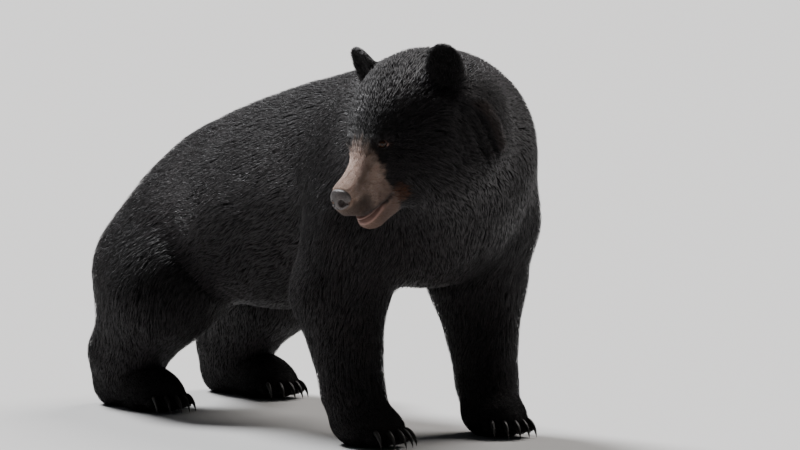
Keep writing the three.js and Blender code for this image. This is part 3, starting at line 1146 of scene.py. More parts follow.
@dataclass
class Markings:
    """Where the coat changes colour, and where shade and highlights are painted on it: the same on the skin
    and on the tufts.

    A span gives where a mark is 0 and where it is full, in millimetres of the head's frame.
    """

    anatomy: Anatomy
    face: Face
    mottle: Ripple = field(default_factory=lambda: Ripple(seed=5, wavelength=14.0))
    raggedness: float = 4.0
    tan_from: float = 98.0
    tan_slant: float = 0.26
    tan_level: float = 5.0
    tan_height: float = 60.0
    tan_fade: Span = (7.0, 9.0)
    brow_fade: Span = (20.0, 50.0)
    flesh_from: Span = (114.0, 136.0)
    tear_pink: float = 0.6
    lip_dark: float = 0.8
    rust_at: Span = (94.0, -60.0)
    rust_stretch: float = 0.8
    rust_size: Span = (26.0, 8.0)
    rust_outside: float = 20.0
    # painted shade: the heights over which the tan fur darkens towards the chin
    chin_shade: Span = (-16.0, -44.0)
    # painted shade on the upper lip under the nose pad
    nose_shade_depth: float = 0.85
    front_under: Span = (0.0, -14.0)
    front_over: Span = (-52.0, -46.0)
    front_from: Span = (140.0, 166.0)
    # painted highlight over the crests of the folds
    ridge_light_edge: Span = (4.0, -3.0)
    ridge_light_least: float = 0.4
    ridge_light_height: Span = (-35.0, 15.0)
    # painted shade in the ear cups: where it fades from the hollow
    cup_edge: Span = (6.0, 2.0)
    # painted shade round each eye: its middle from the eye and its size
    eye_shade_at: Point = (5.0, -5.0, 6.0)
    eye_shade_size: Span = (27.0, 15.0)

    def at(self, points: np.ndarray) -> dict[str, np.ndarray]:
        """Masks at the points, each from 0 to 1.

        Args:
            points: Places in the bear's frame.

        Returns:
            Under MARKS rows of tan fur, bare flesh and dark bare rims. Under TINTS rows of rust, of brown
            and of painted shade; the brown is painted shade that darkens the lower tan fur and a painted
            highlight that lightens the black fur over the folds.
        """
        local = self.anatomy.head.back(points)
        x, y, z = local.T
        close = self.face.close(local)
        ragged = self.raggedness * self.mottle.at(local)
        edge = self.tan_from - self.tan_slant * np.clip(z - self.tan_level, 0, self.tan_height) + ragged
        soft = self.tan_fade[0] + self.tan_fade[1] * smooth(*self.brow_fade, z)
        tan = smooth(-1.0, 1.0, (x - edge) / soft) * close
        lower, upper = self.face.lower_lip(local), self.face.upper_lip(local)
        front = smooth(*self.flesh_from, x + ragged)
        flesh = np.maximum(lower * front, self.tear_pink * self.face.blush(local)) * (1 - upper)
        rims = np.maximum(self.face.rims(local), np.maximum(self.lip_dark * upper, lower * (1 - front)))
        corner = np.hypot((x - self.rust_at[0]) * self.rust_stretch, z - self.rust_at[1]) + ragged
        rust = smooth(*self.rust_size, corner) * (np.abs(y) > self.rust_outside) * close
        # painted shade on the lower muzzle and the jaw
        shade = smooth(*self.chin_shade, z + ragged)
        # the brown row: painted shade on the lower tan fur, painted highlight on the black fur over the
        # folds
        brown = (tan * shade + (1 - tan) * self.ridge_highlight(local)) * close
        # painted shade: round the eyes, in the ear cups and under the nose pad
        painted_shade = np.max([self.brow(local), self.ear_cup_shade(local), self.nose_shade(local)], 0) * close
        return {
            MARKS: np.stack([tan, flesh, rims], 1),
            TINTS: np.stack([rust, brown, painted_shade], 1),
        }

    def nose_shade(self, local: np.ndarray) -> np.ndarray:
        """Painted shade on the upper lip under the nose pad.

        Args:
            local: Points in the head's frame.

        Returns:
            Values from 0 to 1.
        """
        x, _, z = local.T
        under, over = smooth(*self.front_under, z), smooth(*self.front_over, z)
        return self.nose_shade_depth * under * over * smooth(*self.front_from, x)

    def ridge_highlight(self, local: np.ndarray) -> np.ndarray:
        """Painted highlight on the hair over the crests of the folds, strongest near the ear.

        Args:
            local: Points in the head's frame.

        Returns:
            Values from 0 to 1.
        """
        crest = np.max([smooth(*self.ridge_light_edge, ridge.near(local)) for ridge in self.anatomy.ridges], 0)
        least = self.ridge_light_least
        return crest * (least + (1 - least) * smooth(*self.ridge_light_height, local[:, 2]))

    def ear_cup_shade(self, local: np.ndarray) -> np.ndarray:
        """Painted shade in the hollows of the ears."""
        return np.max([smooth(*self.cup_edge, cup.near(local)) for cup in self.anatomy.cups], 0)

    def brow(self, local: np.ndarray) -> np.ndarray:
        """Painted shade round each eye, that reaches up to the brow.

        Args:
            local: Points in the head's frame.

        Returns:
            Values from 0 to 1.
        """
        found = []
        for side in SIDES:
            middle = np.array(self.face.eye_place(side).at) + np.array(self.eye_shade_at) * (1, side, 1)
            found.append(smooth(*self.eye_shade_size, lengths(local - middle)[:, 0]))
        return np.max(found, 0)


def unwrap(skin: bpy.types.Object) -> np.ndarray:
    """Unwraps the skin's own shape into the bake map, and gives the map's corners.

    Args:
        skin: The skin.

    Returns:
        For each triangle the places of its three corners in the map.
    """
    skin.data.uv_layers.new(name=BAKE_MAP)
    bpy.context.view_layer.objects.active = skin
    skin.select_set(True)
    bpy.ops.object.mode_set(mode="EDIT")
    bpy.ops.mesh.select_all(action="SELECT")
    bpy.ops.uv.smart_project(angle_limit=math.radians(66), island_margin=0.002)
    bpy.ops.object.mode_set(mode="OBJECT")
    skin.select_set(False)
    flat = np.zeros(len(skin.data.loops) * 2, np.float32)
    skin.data.uv_layers[BAKE_MAP].uv.foreach_get("vector", flat)
    return flat.reshape(-1, 3, 2)


# ---- shader nodes


class Wire:
    """A node's output socket that can be used in expressions on values."""

    def __init__(self, graph: "Graph", socket: bpy.types.NodeSocket) -> None:
        """Wraps a socket of a graph."""
        self.graph = graph
        self.socket = socket

    def math(self, operation: str, first: "Value", second: "Value") -> "Wire":
        """A Math node on two values."""
        return self.graph.node("ShaderNodeMath", {"operation": operation}, {0: first, 1: second})

    def __add__(self, other: "Value") -> "Wire":
        """Sum."""
        return self.math("ADD", self, other)

    def __radd__(self, other: "Value") -> "Wire":
        """Reflected sum."""
        return self.math("ADD", other, self)

    def __sub__(self, other: "Value") -> "Wire":
        """Difference."""
        return self.math("SUBTRACT", self, other)

    def __rsub__(self, other: "Value") -> "Wire":
        """Reflected difference."""
        return self.math("SUBTRACT", other, self)

    def __mul__(self, other: "Value") -> "Wire":
        """Product."""
        return self.math("MULTIPLY", self, other)

    def __rmul__(self, other: "Value") -> "Wire":
        """Reflected product."""
        return self.math("MULTIPLY", other, self)


Colour = tuple[float, float, float]
Value = Wire | float | tuple[float, ...]


class Graph:
    """The node graph of one material, with a Principled shader."""

    def __init__(self, name: str) -> None:
        """Starts an empty material.

        Args:
            name: Its name.
        """
        self.material = bpy.data.materials.new(name)
        self.material.use_nodes = True
        self.tree = self.material.node_tree
        self.shader = self.tree.nodes["Principled BSDF"]

    def node(
        self,
        kind: str,
        settings: dict[str, object] | None = None,
        inputs: dict[str | int, Value] | None = None,
        output: str | int = 0,
    ) -> Wire:
        """Adds a node.

        Args:
            kind: The node's type.
            settings: Its own settings, set first.
            inputs: Values or wires by socket name or number.
            output: The output socket that is wanted.

        Returns:
            The output as a wire.
        """
        made = self.tree.nodes.new(kind)
        for key, value in (settings or {}).items():
            setattr(made, key, value)
        for key, value in (inputs or {}).items():
            self.feed(made.inputs[key], value)
        return Wire(self, made.outputs[output])

    def feed(self, socket: bpy.types.NodeSocket, value: Value) -> None:
        """Links a wire to a socket or sets its value.

        Args:
            socket: The input socket.
            value: A wire, a number or a colour.
        """
        if isinstance(value, Wire):
            self.tree.links.new(value.socket, socket)
        elif isinstance(value, tuple) and len(value) == 3 and socket.type == "RGBA":
            socket.default_value = (*value, 1.0)
        else:
            socket.default_value = value

    def set(self, **values: Value) -> None:
        """Feeds sockets of the shader; an underscore in a name stands for a space."""
        for name, value in values.items():
            self.feed(self.shader.inputs[name.replace("_", " ")], value)

    def blend(self, first: Value, second: Value, factor: Value) -> Wire:
        """Mixes two colours."""
        return self.node("ShaderNodeMix", {"data_type": "RGBA"}, {0: factor, 6: first, 7: second}, 2)

    def attribute(self, name: str) -> Wire:
        """A vector attribute of the mesh."""
        return self.node("ShaderNodeAttribute", {"attribute_name": name}, {}, "Vector")

    def split(self, vector: Wire) -> list[Wire]:
        """The three parts of a vector."""
        first = self.node("ShaderNodeSeparateXYZ", {}, {0: vector})
        return [Wire(self, part) for part in first.socket.node.outputs]

    def place(self) -> Wire:
        """Places in the object's own space."""
        return self.node("ShaderNodeTexCoord", {}, {}, "Object")

    def noise(self, scale: float, detail: float = 4.0, vector: Wire | None = None) -> Wire:
        """Noise in the object's own space, or along another vector."""
        place = vector or self.place()
        return self.node("ShaderNodeTexNoise", {}, {"Vector": place, "Scale": scale, "Detail": detail})

    def steps(self, value: Wire, low: float, high: float) -> Wire:
        """A smooth step of a value."""
        inputs = {"Value": value, "From Min": low, "From Max": high}
        return self.node("ShaderNodeMapRange", {"interpolation_type": "SMOOTHSTEP"}, inputs)

    def cloud(self, cloud: "Cloud") -> Wire:
        """Noise that is stepped, from 0 to 1."""
        return self.steps(self.noise(cloud.scale, cloud.detail), cloud.low, cloud.high)

    def bump(self, height: Wire, distance: float) -> None:
        """A bump on the shader's normal, its distance in metres."""
        bump = self.node("ShaderNodeBump", {}, {"Height": height, "Distance": distance, "Strength": 1.0})
        self.feed(self.shader.inputs["Normal"], bump)


# ---- finishes


@dataclass(frozen=True)
class Cloud:
    """Noise of a scale and a detail, with the values that are stepped to 0 and to 1."""

    scale: float
    detail: float
    low: float
    high: float


@dataclass(frozen=True)
class FurFinish:
    """The coat: black hair with brown in it, tan fur on the muzzle, the bare rims and flesh, and painted
    shade and highlights.
    """

    name: str
    # share of the colour that is kept; the rest is painted shade, as on the skin between the tufts
    shade: float = 1.0
    black: Colour = (0.0024, 0.0020, 0.0024)
    brown: Colour = (0.015, 0.0105, 0.0105)
    # colour of the painted highlight on the black hair over the folds
    under: Colour = (0.060, 0.042, 0.037)
    tan: Colour = (0.42, 0.28, 0.215)
    pale: Colour = (0.62, 0.52, 0.46)
    # colour of the umber smudges, and of the painted shade on the lower tan fur
    umber: Colour = (0.11, 0.058, 0.040)
    rust: Colour = (0.13, 0.05, 0.022)
    # colour of the painted shade round the eyes, in the ear cups and under the nose pad
    painted_shade: Colour = (0.0022, 0.0019, 0.0020)
    rim: Colour = (0.012, 0.009, 0.009)
    flesh: Colour = (0.29, 0.17, 0.14)
    roughness: float = 0.48
    gloss: float = 0.2
    sheen: float = 0.045
    sheen_roughness: float = 0.35
    sheen_tint: Colour = (1.0, 0.88, 0.93)
    patches: Cloud = Cloud(9.0, 3.0, 0.42, 0.66)
    fading: Cloud = Cloud(2.2, 2.0, 0.35, 0.7)
    smudges: Cloud = Cloud(38.0, 3.0, 0.46, 0.7)
    speckle: Cloud = Cloud(95.0, 3.0, 0.36, 0.66)
    browned: Span = (0.55, 1.15)
    # how far the painted shade darkens the lower tan fur
    muzzle_shade_depth: float = 0.78
    painted_shade_depth: float = 0.85
    hair_scale: float = 900.0
    hair_stretch: float = 0.86
    hair_depth: float = 0.0012

    def make(self, skin: bool) -> bpy.types.Material:
        """Builds the material.

        Args:
            skin: Whether it is for the skin under the tufts, which gets the flat hair as a bump.

        Returns:
            The material.
        """
        g = Graph(self.name)
        tan, flesh, rim = g.split(g.attribute(MARKS))
        rust, umber, painted_shade = g.split(g.attribute(TINTS))
        along, chance, _ = g.split(g.attribute(STRAND))
        patches = g.cloud(self.patches)
        fade = g.cloud(self.fading)
        brown = g.steps(along * 0.55 + chance * 0.45 + patches * 0.25, *self.browned)
        dark = g.blend(self.black, self.brown, brown * (0.35 + fade * 0.65))
        dark = g.blend(dark, self.rust, rust * (0.35 + chance * 0.5))
        # painted highlight on the black hair over the folds, from the brown row
        dark = g.blend(dark, self.under, umber * (0.3 + along * 0.3 + chance * 0.4))
        grain = self.speckle
        speckle = g.noise(grain.scale, grain.detail) * 0.6 + chance * 0.4
        speckle = g.steps(speckle, grain.low, grain.high)
        light = g.blend(self.tan, self.pale, speckle * (0.25 + along * 0.45))
        smudges = g.cloud(self.smudges) * 0.45
        # umber smudges at random, and painted shade on the lower tan fur from the brown row
        light = g.blend(light, self.umber, smudges + umber * (self.muzzle_shade_depth - smudges))
        colour = g.blend(dark, light, tan)
        # painted shade from the third tint row
        colour = g.blend(colour, self.painted_shade, painted_shade * self.painted_shade_depth)
        colour = g.blend(colour, self.rim, rim)
        colour = g.blend(colour, self.flesh, flesh)
        # painted shade on the skin between the tufts, but not on its bare flesh and rims
        if self.shade < 1.0:
            shaded = (1.0 - flesh) * (1.0 - rim) * (1.0 - self.shade)
            colour = g.blend(colour, (0.0, 0.0, 0.0), shaded)
        wet = flesh + rim * 0.5
        rough = self.roughness + tan * 0.16 - wet * 0.2
        g.set(Base_Color=colour, Roughness=rough, Specular_IOR_Level=self.gloss)
        g.set(Sheen_Weight=self.sheen, Sheen_Roughness=self.sheen_roughness, Sheen_Tint=self.sheen_tint)
        if skin:
            g.bump(self.flat_hair(g), self.hair_depth)
        return g.material

    def flat_hair(self, g: Graph) -> Wire:
        """Fine ridges along the lie of the hair.

        Args:
            g: The graph that they are made in.

        Returns:
            Their height.
        """
        place = g.place()
        lie = g.attribute(LIE)
        along = g.node("ShaderNodeVectorMath", {"operation": "DOT_PRODUCT"}, {0: place, 1: lie}, "Value")
        shift = {0: lie, "Scale": along * self.hair_stretch}
        back = g.node("ShaderNodeVectorMath", {"operation": "SCALE"}, shift)
        squeezed = g.node("ShaderNodeVectorMath", {"operation": "SUBTRACT"}, {0: place, 1: back})
        return g.noise(self.hair_scale, 2.0, squeezed)


@dataclass(frozen=True)
class NoseFinish:
    """Moist grained leather of the nose pad."""

    dark: Colour = (0.016, 0.013, 0.013)
    worn: Colour = (0.115, 0.095, 0.09)
    grain: float = 620.0
    grain_depth: float = 0.0006
    wear: Cloud = Cloud(60.0, 4.0, 0.3, 0.7)
    dull: Cloud = Cloud(200.0, 4.0, 0.3, 0.7)
    roughness: Span = (0.36, 0.16)

    def make(self) -> bpy.types.Material:
        """Builds the material."""
        g = Graph("nose_leather")
        inputs = {"Vector": g.place(), "Scale": self.grain}
        cells = g.node("ShaderNodeTexVoronoi", {"feature": "F1"}, inputs)
        wear = g.cloud(self.wear)
        deep = g.steps(cells, 0.3, 0.75) * 0.6 + (1.0 - wear) * 0.4
        g.set(Base_Color=g.blend(self.worn, self.dark, deep))
        g.set(Roughness=self.roughness[0] + g.cloud(self.dull) * self.roughness[1])
        g.bump(1.0 - cells, self.grain_depth)
        return g.material


@dataclass(frozen=True)
class TongueFinish:
    """Wet pink flesh with fine bumps."""

    pale: Colour = (0.23, 0.135, 0.11)
    deep: Colour = (0.12, 0.06, 0.05)
    bump_scale: float = 1400.0
    bump_depth: float = 0.0005
    mottle_scale: float = 120.0
    under_skin: float = 0.12
    under_skin_reach: Point = (0.006, 0.002, 0.001)

    def make(self) -> bpy.types.Material:
        """Builds the material."""
        g = Graph("tongue_flesh")
        bumps = g.noise(self.bump_scale, 2.0)
        mottle = g.steps(bumps * 0.4 + g.noise(self.mottle_scale) * 0.6, 0.35, 0.6)
        g.set(Base_Color=g.blend(self.deep, self.pale, mottle), Roughness=0.3)
        g.set(Subsurface_Weight=self.under_skin, Subsurface_Radius=self.under_skin_reach)
        g.bump(bumps, self.bump_depth)
        return g.material


@dataclass(frozen=True)
class EyeFinish:
    """A dark brown iris round a black pupil, under a clear wet front.

    The edges give the angle from the eye's axis, in radians, at which one colour turns into the next.
    """

    pupil: Colour = (0.002, 0.002, 0.002)
    iris: Colour = (0.024, 0.010, 0.004)
    ring: Colour = (0.005, 0.003, 0.0025)
    white: Colour = (0.06, 0.035, 0.03)
    rays: Cloud = Cloud(900.0, 3.0, 0.3, 0.7)
    pupil_edge: Span = (0.16, 0.22)
    iris_edge: Span = (0.5, 0.6)
    ring_edge: Span = (0.72, 0.85)
    wet: float = 0.35
    wet_roughness: float = 0.03
    wet_index: float = 1.34

    def make(self) -> bpy.types.Material:
        """Builds the material."""
        g = Graph("eye_gloss")
        angle, _, _ = g.split(g.attribute(TURN))
        iris = g.blend(self.iris, self.ring, g.cloud(self.rays) * 0.6)
        colour = g.blend(self.pupil, iris, g.steps(angle, *self.pupil_edge))
        colour = g.blend(colour, self.ring, g.steps(angle, *self.iris_edge))
        colour = g.blend(colour, self.white, g.steps(angle, *self.ring_edge))
        g.set(Base_Color=colour, Roughness=0.2, Specular_IOR_Level=0.1)
        g.set(Coat_Weight=self.wet, Coat_Roughness=self.wet_roughness, Coat_IOR=self.wet_index)
        return g.material


@dataclass(frozen=True)
class HornFinish:
    """Dark claw horn with fine lengthwise streaks, worn paler at the tip."""

    dark: Colour = (0.010, 0.009, 0.008)
    worn: Colour = (0.05, 0.041, 0.034)
    tip_from: float = 0.55
    streaks: float = 9.0
    streak_depth: float = 0.0004

    def make(self) -> bpy.types.Material:
        """Builds the material."""
        g = Graph("claw_horn")
        along, around, _ = g.split(g.attribute(TURN))
        inputs = {"W": around * self.streaks, "Scale": 4.0}
        lines = g.node("ShaderNodeTexNoise", {"noise_dimensions": "1D"}, inputs)
        tip = g.steps(along, self.tip_from, 1.0)
        g.set(Base_Color=g.blend(self.dark, self.worn, tip * 0.55 + g.steps(lines, 0.45, 0.7) * 0.3))
        g.set(Roughness=0.32 + tip * 0.2)
        g.bump(lines, self.streak_depth)
        return g.material


@dataclass(frozen=True)
class FloorFinish:
    """Plain pale matt floor."""

    pale: Colour = (0.62, 0.62, 0.61)

    def make(self) -> bpy.types.Material:
        """Builds the material."""
        g = Graph("studio_floor")
        g.set(Base_Color=self.pale, Roughness=0.85, Specular_IOR_Level=0.2)
        return g.material


# ---- the hard and wet parts


def head_form(anatomy: Anatomy, surface: Field, low: Point, high: Point, cell: float) -> Soup:
    """Meshes a small form that is given in the head's frame.

    Args:
        anatomy: The bear.
        surface: The form's signed distance, in the head's frame.
        low: The lowest corner of the space round it.
        high: The highest corner.
        cell: The size of the net's cells.

    Returns:
        Its triangles in the bear's frame.
    """
    soup = Net(low, high, cell).build(surface)
    soup.settle(surface, 0.3)
    return replace(soup, points=anatomy.head.out(soup.points))


@dataclass
class Nose:
    """The bare leather pad on the muzzle's tip, with its nostrils."""

    anatomy: Anatomy
    proud: float = 0.4
    cell: float = 1.1
    edge: float = 5.0
    low: Point = (150.0, -36.0, -40.0)
    high: Point = (206.0, 36.0, 40.0)
    groove: tuple[Point, Point] = ((199.0, 0.0, -6.0), (190.0, 0.0, -34.0))
    nostril_at: Point = (194.0, 11.5, 3.0)
    nostril_radii: Point = (12.0, 6.6, 7.0)
    nostril_yaw: float = 18.0
    slit: tuple[Point, Point] = ((193.0, 16.0, 1.0), (178.0, 30.0, -4.0))

    def surface(self, local: np.ndarray) -> np.ndarray:
        """Signed distances to the pad.

        Args:
            local: Points in the head's frame.

        Returns:
            The distances.
        """
        muzzle = Flow(self.anatomy.skull()).distance(local) - self.proud
        pad = -join(-muzzle, -self.anatomy.nose.near(local), self.edge)
        return Flow(self.holes()).distance(local, pad)

    def holes(self) -> list[Mass]:
        """The groove below the nostrils, the nostrils and the slits beside them."""
        start, end = self.groove
        cuts: list[Mass] = [Limb(3.0, cut=True, start=start, end=end, r0=1.2, r1=1.4)]
        for side in SIDES:
            hole, front, back = ((x, side * y, z) for x, y, z in (self.nostril_at, *self.slit))
            turn = (0.0, 0.0, side * self.nostril_yaw)
            cuts.append(Egg(3.5, cut=True, centre=hole, radii=self.nostril_radii, turn=turn))
            cuts.append(Limb(3.0, cut=True, start=front, end=back, r0=3.4, r1=1.8))
        return cuts

    def build(self) -> bpy.types.Object:
        """Meshes the pad and dresses it."""
        soup = head_form(self.anatomy, self.surface, self.low, self.high, self.cell)
        piece = mesh_object("nose_pad", soup, self.anatomy.offset, {})
        return dress(piece, NoseFinish().make(), "nose_pad", "nose")


@dataclass
class Tongue:
    """The tongue that lies in the open mouth."""

    anatomy: Anatomy
    at: Point = (137.0, 0.0, -54.0)
    radii: Point = (33.0, 24.0, 4.2)
    cell: float = 1.4
    margin: float = 4.0

    def forms(self) -> Flow:
        """The tongue's body and the groove along it, in the head's frame."""
        pitch = (self.anatomy.jaw_drop - self.anatomy.lip_rise) / 2
        x, _, z = self.at
        start, end = (x - 20, 0, z + 6.6), (x + 26, 0, z + 5.0)
        body = Egg(centre=self.at, radii=self.radii, turn=(0, pitch, 0))
        return Flow([body, Limb(4.0, cut=True, start=start, end=end, r0=2.2, r1=2.0)])

    def build(self) -> bpy.types.Object:
        """Meshes the tongue and dresses it."""
        low = tuple(a - r - self.margin for a, r in zip(self.at, self.radii))
        high = tuple(a + r + self.margin for a, r in zip(self.at, self.radii))
        soup = head_form(self.anatomy, self.forms().distance, low, high, self.cell)
        piece = mesh_object("mouth_tongue", soup, self.anatomy.offset, {})
        return dress(piece, TongueFinish().make(), "tongue", "tongue")


@dataclass
class Eye:
    """An eyeball with the clear front that bulges from it."""

    anatomy: Anatomy
    face: Face
    side: int
    rings: int = 40
    spokes: int = 56
    front: Span = (0.62, 0.15)
    bulge: float = 0.9

    def build(self) -> bpy.types.Object:
        """Meshes the eyeball and dresses it."""
        tilt = np.linspace(0.0, math.pi, self.rings + 1)[1:-1]
        turn = circle(self.spokes)
        radius = self.anatomy.eye_radius + self.bulge * smooth(*self.front, tilt)
        ahead, wide = (np.cos(tilt) * radius)[:, None], (np.sin(tilt) * radius)[:, None]
        rows = [np.repeat(ahead, self.spokes, 1), wide * np.cos(turn), wide * np.sin(turn)]
        rows = np.stack(rows, -1).reshape(-1, 3)
        poles = np.array([[radius[0], 0.0, 0.0], [-radius[-1], 0.0, 0.0]])
        points = self.face.eye_place(self.side).out(np.concatenate([rows, poles]))
        angles = np.concatenate([np.repeat(tilt, self.spokes), [0.0, math.pi]])
        soup = Soup(self.anatomy.head.out(points), tube_faces(len(tilt), self.spokes))
        side = "left" if self.side > 0 else "right"
        marks = {TURN: np.stack([angles, angles * 0, angles * 0], 1)}
        piece = mesh_object(f"eyeball_{side}", soup, self.anatomy.offset, marks)
        return dress(piece, EyeFinish().make(), "eye", f"eye_{side}")


@dataclass
class Claws:
    """The five claws of a paw: each a flat-sided cone, bent forward and down by its curl in degrees."""

    anatomy: Anatomy
    paw: Paw
    length: float = 40.0
    radius: float = 5.5
    curl: float = 62.0
    rings: int = 16
    sides: int = 16
    height: float = 1.25
    breadth: float = 0.8
    flat_under: float = 0.86
    widest_over: float = 0.12
    pitch: float = 24.0
    at: Span = (-4.0, 33.0)

    def claw(self) -> tuple[Soup, np.ndarray]:
        """One claw in its own frame, with how far along and around it each point is."""
        t = np.linspace(-0.12, 0.985, self.rings)
        bend = np.radians(self.curl * t)
        arc = self.length / math.radians(self.curl)
        thick = self.radius * (1.0 - np.maximum(t, 0.0) ** 1.5)
        turn = circle(self.sides)
        up = self.height * np.sin(turn) * np.where(np.sin(turn) < 0, self.flat_under, 1.0)
        wide = self.breadth * np.cos(turn) * (1.0 + self.widest_over * np.sin(turn))
        out = thick[:, None] * up
        x = arc * np.sin(bend)[:, None] + out * np.sin(bend)[:, None]
        z = out * np.cos(bend)[:, None] - arc * (1.0 - np.cos(bend))[:, None]
        rows = np.stack([x, thick[:, None] * wide, z], -1).reshape(-1, 3)
        ends = np.radians(self.curl * np.array([-0.14, 1.0]))
        caps = np.stack([arc * np.sin(ends), ends * 0, -arc * (1.0 - np.cos(ends))], 1)
        around = np.tile(turn, self.rings)
        marks = np.stack([np.repeat(t, self.sides), around, around * 0], 1)
        marks = np.concatenate([marks, [[0.0, 0.0, 0.0], [1.0, 0.0, 0.0]]])
        faces = tube_faces(self.rings, self.sides)
        return Soup(np.concatenate([rows, caps]), faces[:, ::-1]), marks

    def build(self) -> bpy.types.Object:
        """Meshes the paw's claws and dresses them."""
        one, marks = self.claw()
        points, faces = [], []
        for at, yaw in self.paw.spots(*self.at):
            faces.append(one.faces + len(points) * len(one.points))
            points.append(Place(at, (0.0, self.pitch, yaw)).out(one.points))
        soup = Soup(np.concatenate(points), np.concatenate(faces))
        turns = {TURN: np.tile(marks, (len(faces), 1))}
        piece = mesh_object(f"claws_{self.paw.name}", soup, self.anatomy.offset, turns)
        nodes = [f"{self.paw.name}_claw_{i + 1}" for i in range(len(faces))]
        return dress(piece, HornFinish().make(), "claw", *nodes)


def tube_faces(rings: int, spokes: int) -> np.ndarray:
    """Triangles of a closed tube: its rings in order, then its first and its last cap point.

    Args:
        rings: How many rings it has.
        spokes: How many points a ring has.

    Returns:
        The triangles.
    """
    first = np.arange(spokes)
    after = (first + 1) % spokes
    starts = np.arange(rings - 1)[:, None] * spokes
    here, beside = starts + first, starts + after
    a, b, c, d = (part.ravel() for part in (here, beside, beside + spokes, here + spokes))
    last = (rings - 1) * spokes
    caps = [
        np.stack([np.full(spokes, rings * spokes), after, first], 1),
        np.stack([np.full(spokes, rings * spokes + 1), last + first, last + after], 1),
    ]
    return np.concatenate([np.stack([a, b, c], 1), np.stack([a, c, d], 1), *caps])


def dress(piece: bpy.types.Object, finish: bpy.types.Material, slot: str, *nodes: str) -> bpy.types.Object:
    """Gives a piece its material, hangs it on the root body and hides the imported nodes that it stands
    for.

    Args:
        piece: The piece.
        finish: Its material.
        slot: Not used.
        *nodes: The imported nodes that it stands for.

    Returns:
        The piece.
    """
    piece.data.materials.append(finish)
    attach(piece, "root")
    if nodes:
        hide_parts(*nodes)
    LOG.info("%s: %d triangles", piece.name, len(piece.data.polygons))
    return piece


# ---- the coat


class TuftShape(Enum):
    """How a tuft is made, as its triangles: three points round it, its tip, and for a lock its root.

    A spike is widest at its root, for short fur and the under coat. A lock is widest where it bends.
    """

    SPIKE = ((0, 1, 2), (0, 2, 3), (2, 1, 3), (1, 0, 3))
    LOCK = ((0, 2, 3), (2, 1, 3), (1, 0, 3), (2, 0, 4), (1, 2, 4), (0, 1, 4))

    @property
    def sides(self) -> np.ndarray:
        """How far each point is to a side of the tuft, from -1 to 1."""
        return np.array([1.0, -1.0, 0.0, 0.0, 0.0][: self.size])

    @property
    def along(self) -> np.ndarray:
        """How far along the tuft each point is, from its root at 0 to its tip at 1."""
        bend = 0.0 if self is TuftShape.SPIKE else 0.4
        return np.array([bend, bend, bend, 1.0, 0.0][: self.size])

    @property
    def size(self) -> int:
        """How many points a tuft has."""
        return 4 if self is TuftShape.SPIKE else 5


@dataclass(frozen=True)
class Layer:
    """One growth of tufts over the whole skin, where the coat's length is within two limits.

    Its coverage is how many times the tufts cover the skin, its stretch what their length is multiplied by,
    and its lift the share of the coat's depth that their tips rise to.
    """

    shape: TuftShape
    seed: int
    coverage: float
    lift: Span
    shortest: float = 0.0
    longest: float = 400.0
    fade: float = 2.0
    stretch: float = 1.0


@dataclass
class Growth:
    """Tufts of one shape, one row for each tuft."""

    shape: TuftShape
    points: np.ndarray
    marks: dict[str, np.ndarray]
    chance: np.ndarray
    place: np.ndarray
    owner: np.ndarray

    def pick(self, rows: np.ndarray) -> "Growth":
        """Picks some of the tufts.

        Args:
            rows: Their rows.

        Returns:
            Those tufts.
        """
        marks = {name: values[rows] for name, values in self.marks.items()}
        parts = (self.chance, self.place, self.owner)
        return Growth(self.shape, self.points[rows], marks, *(part[rows] for part in parts))

    @property
    def count(self) -> int:
        """How many tufts there are."""
        return len(self.points)

    @property
    def faces(self) -> np.ndarray:
        """All triangles of the tufts."""
        starts = np.arange(self.count) * self.shape.size
        return (np.array(self.shape.value)[None] + starts[:, None, None]).reshape(-1, 3)

    @property
    def strands(self) -> np.ndarray:
        """For each point how far along its tuft it is, and the tuft's own chance."""
        along = np.tile(self.shape.along, self.count)
        chance = np.repeat(self.chance, self.shape.size)
        return np.stack([along, chance, along * 0], 1)

    def patches(self, patch: float) -> np.ndarray:
        """The places of all points in the bake map: a small patch at each tuft's root."""
        spread = np.stack([self.shape.sides / 2, self.shape.along - 0.5], 1) * patch
        return (self.place[:, None] + spread[None]).reshape(-1, 2)


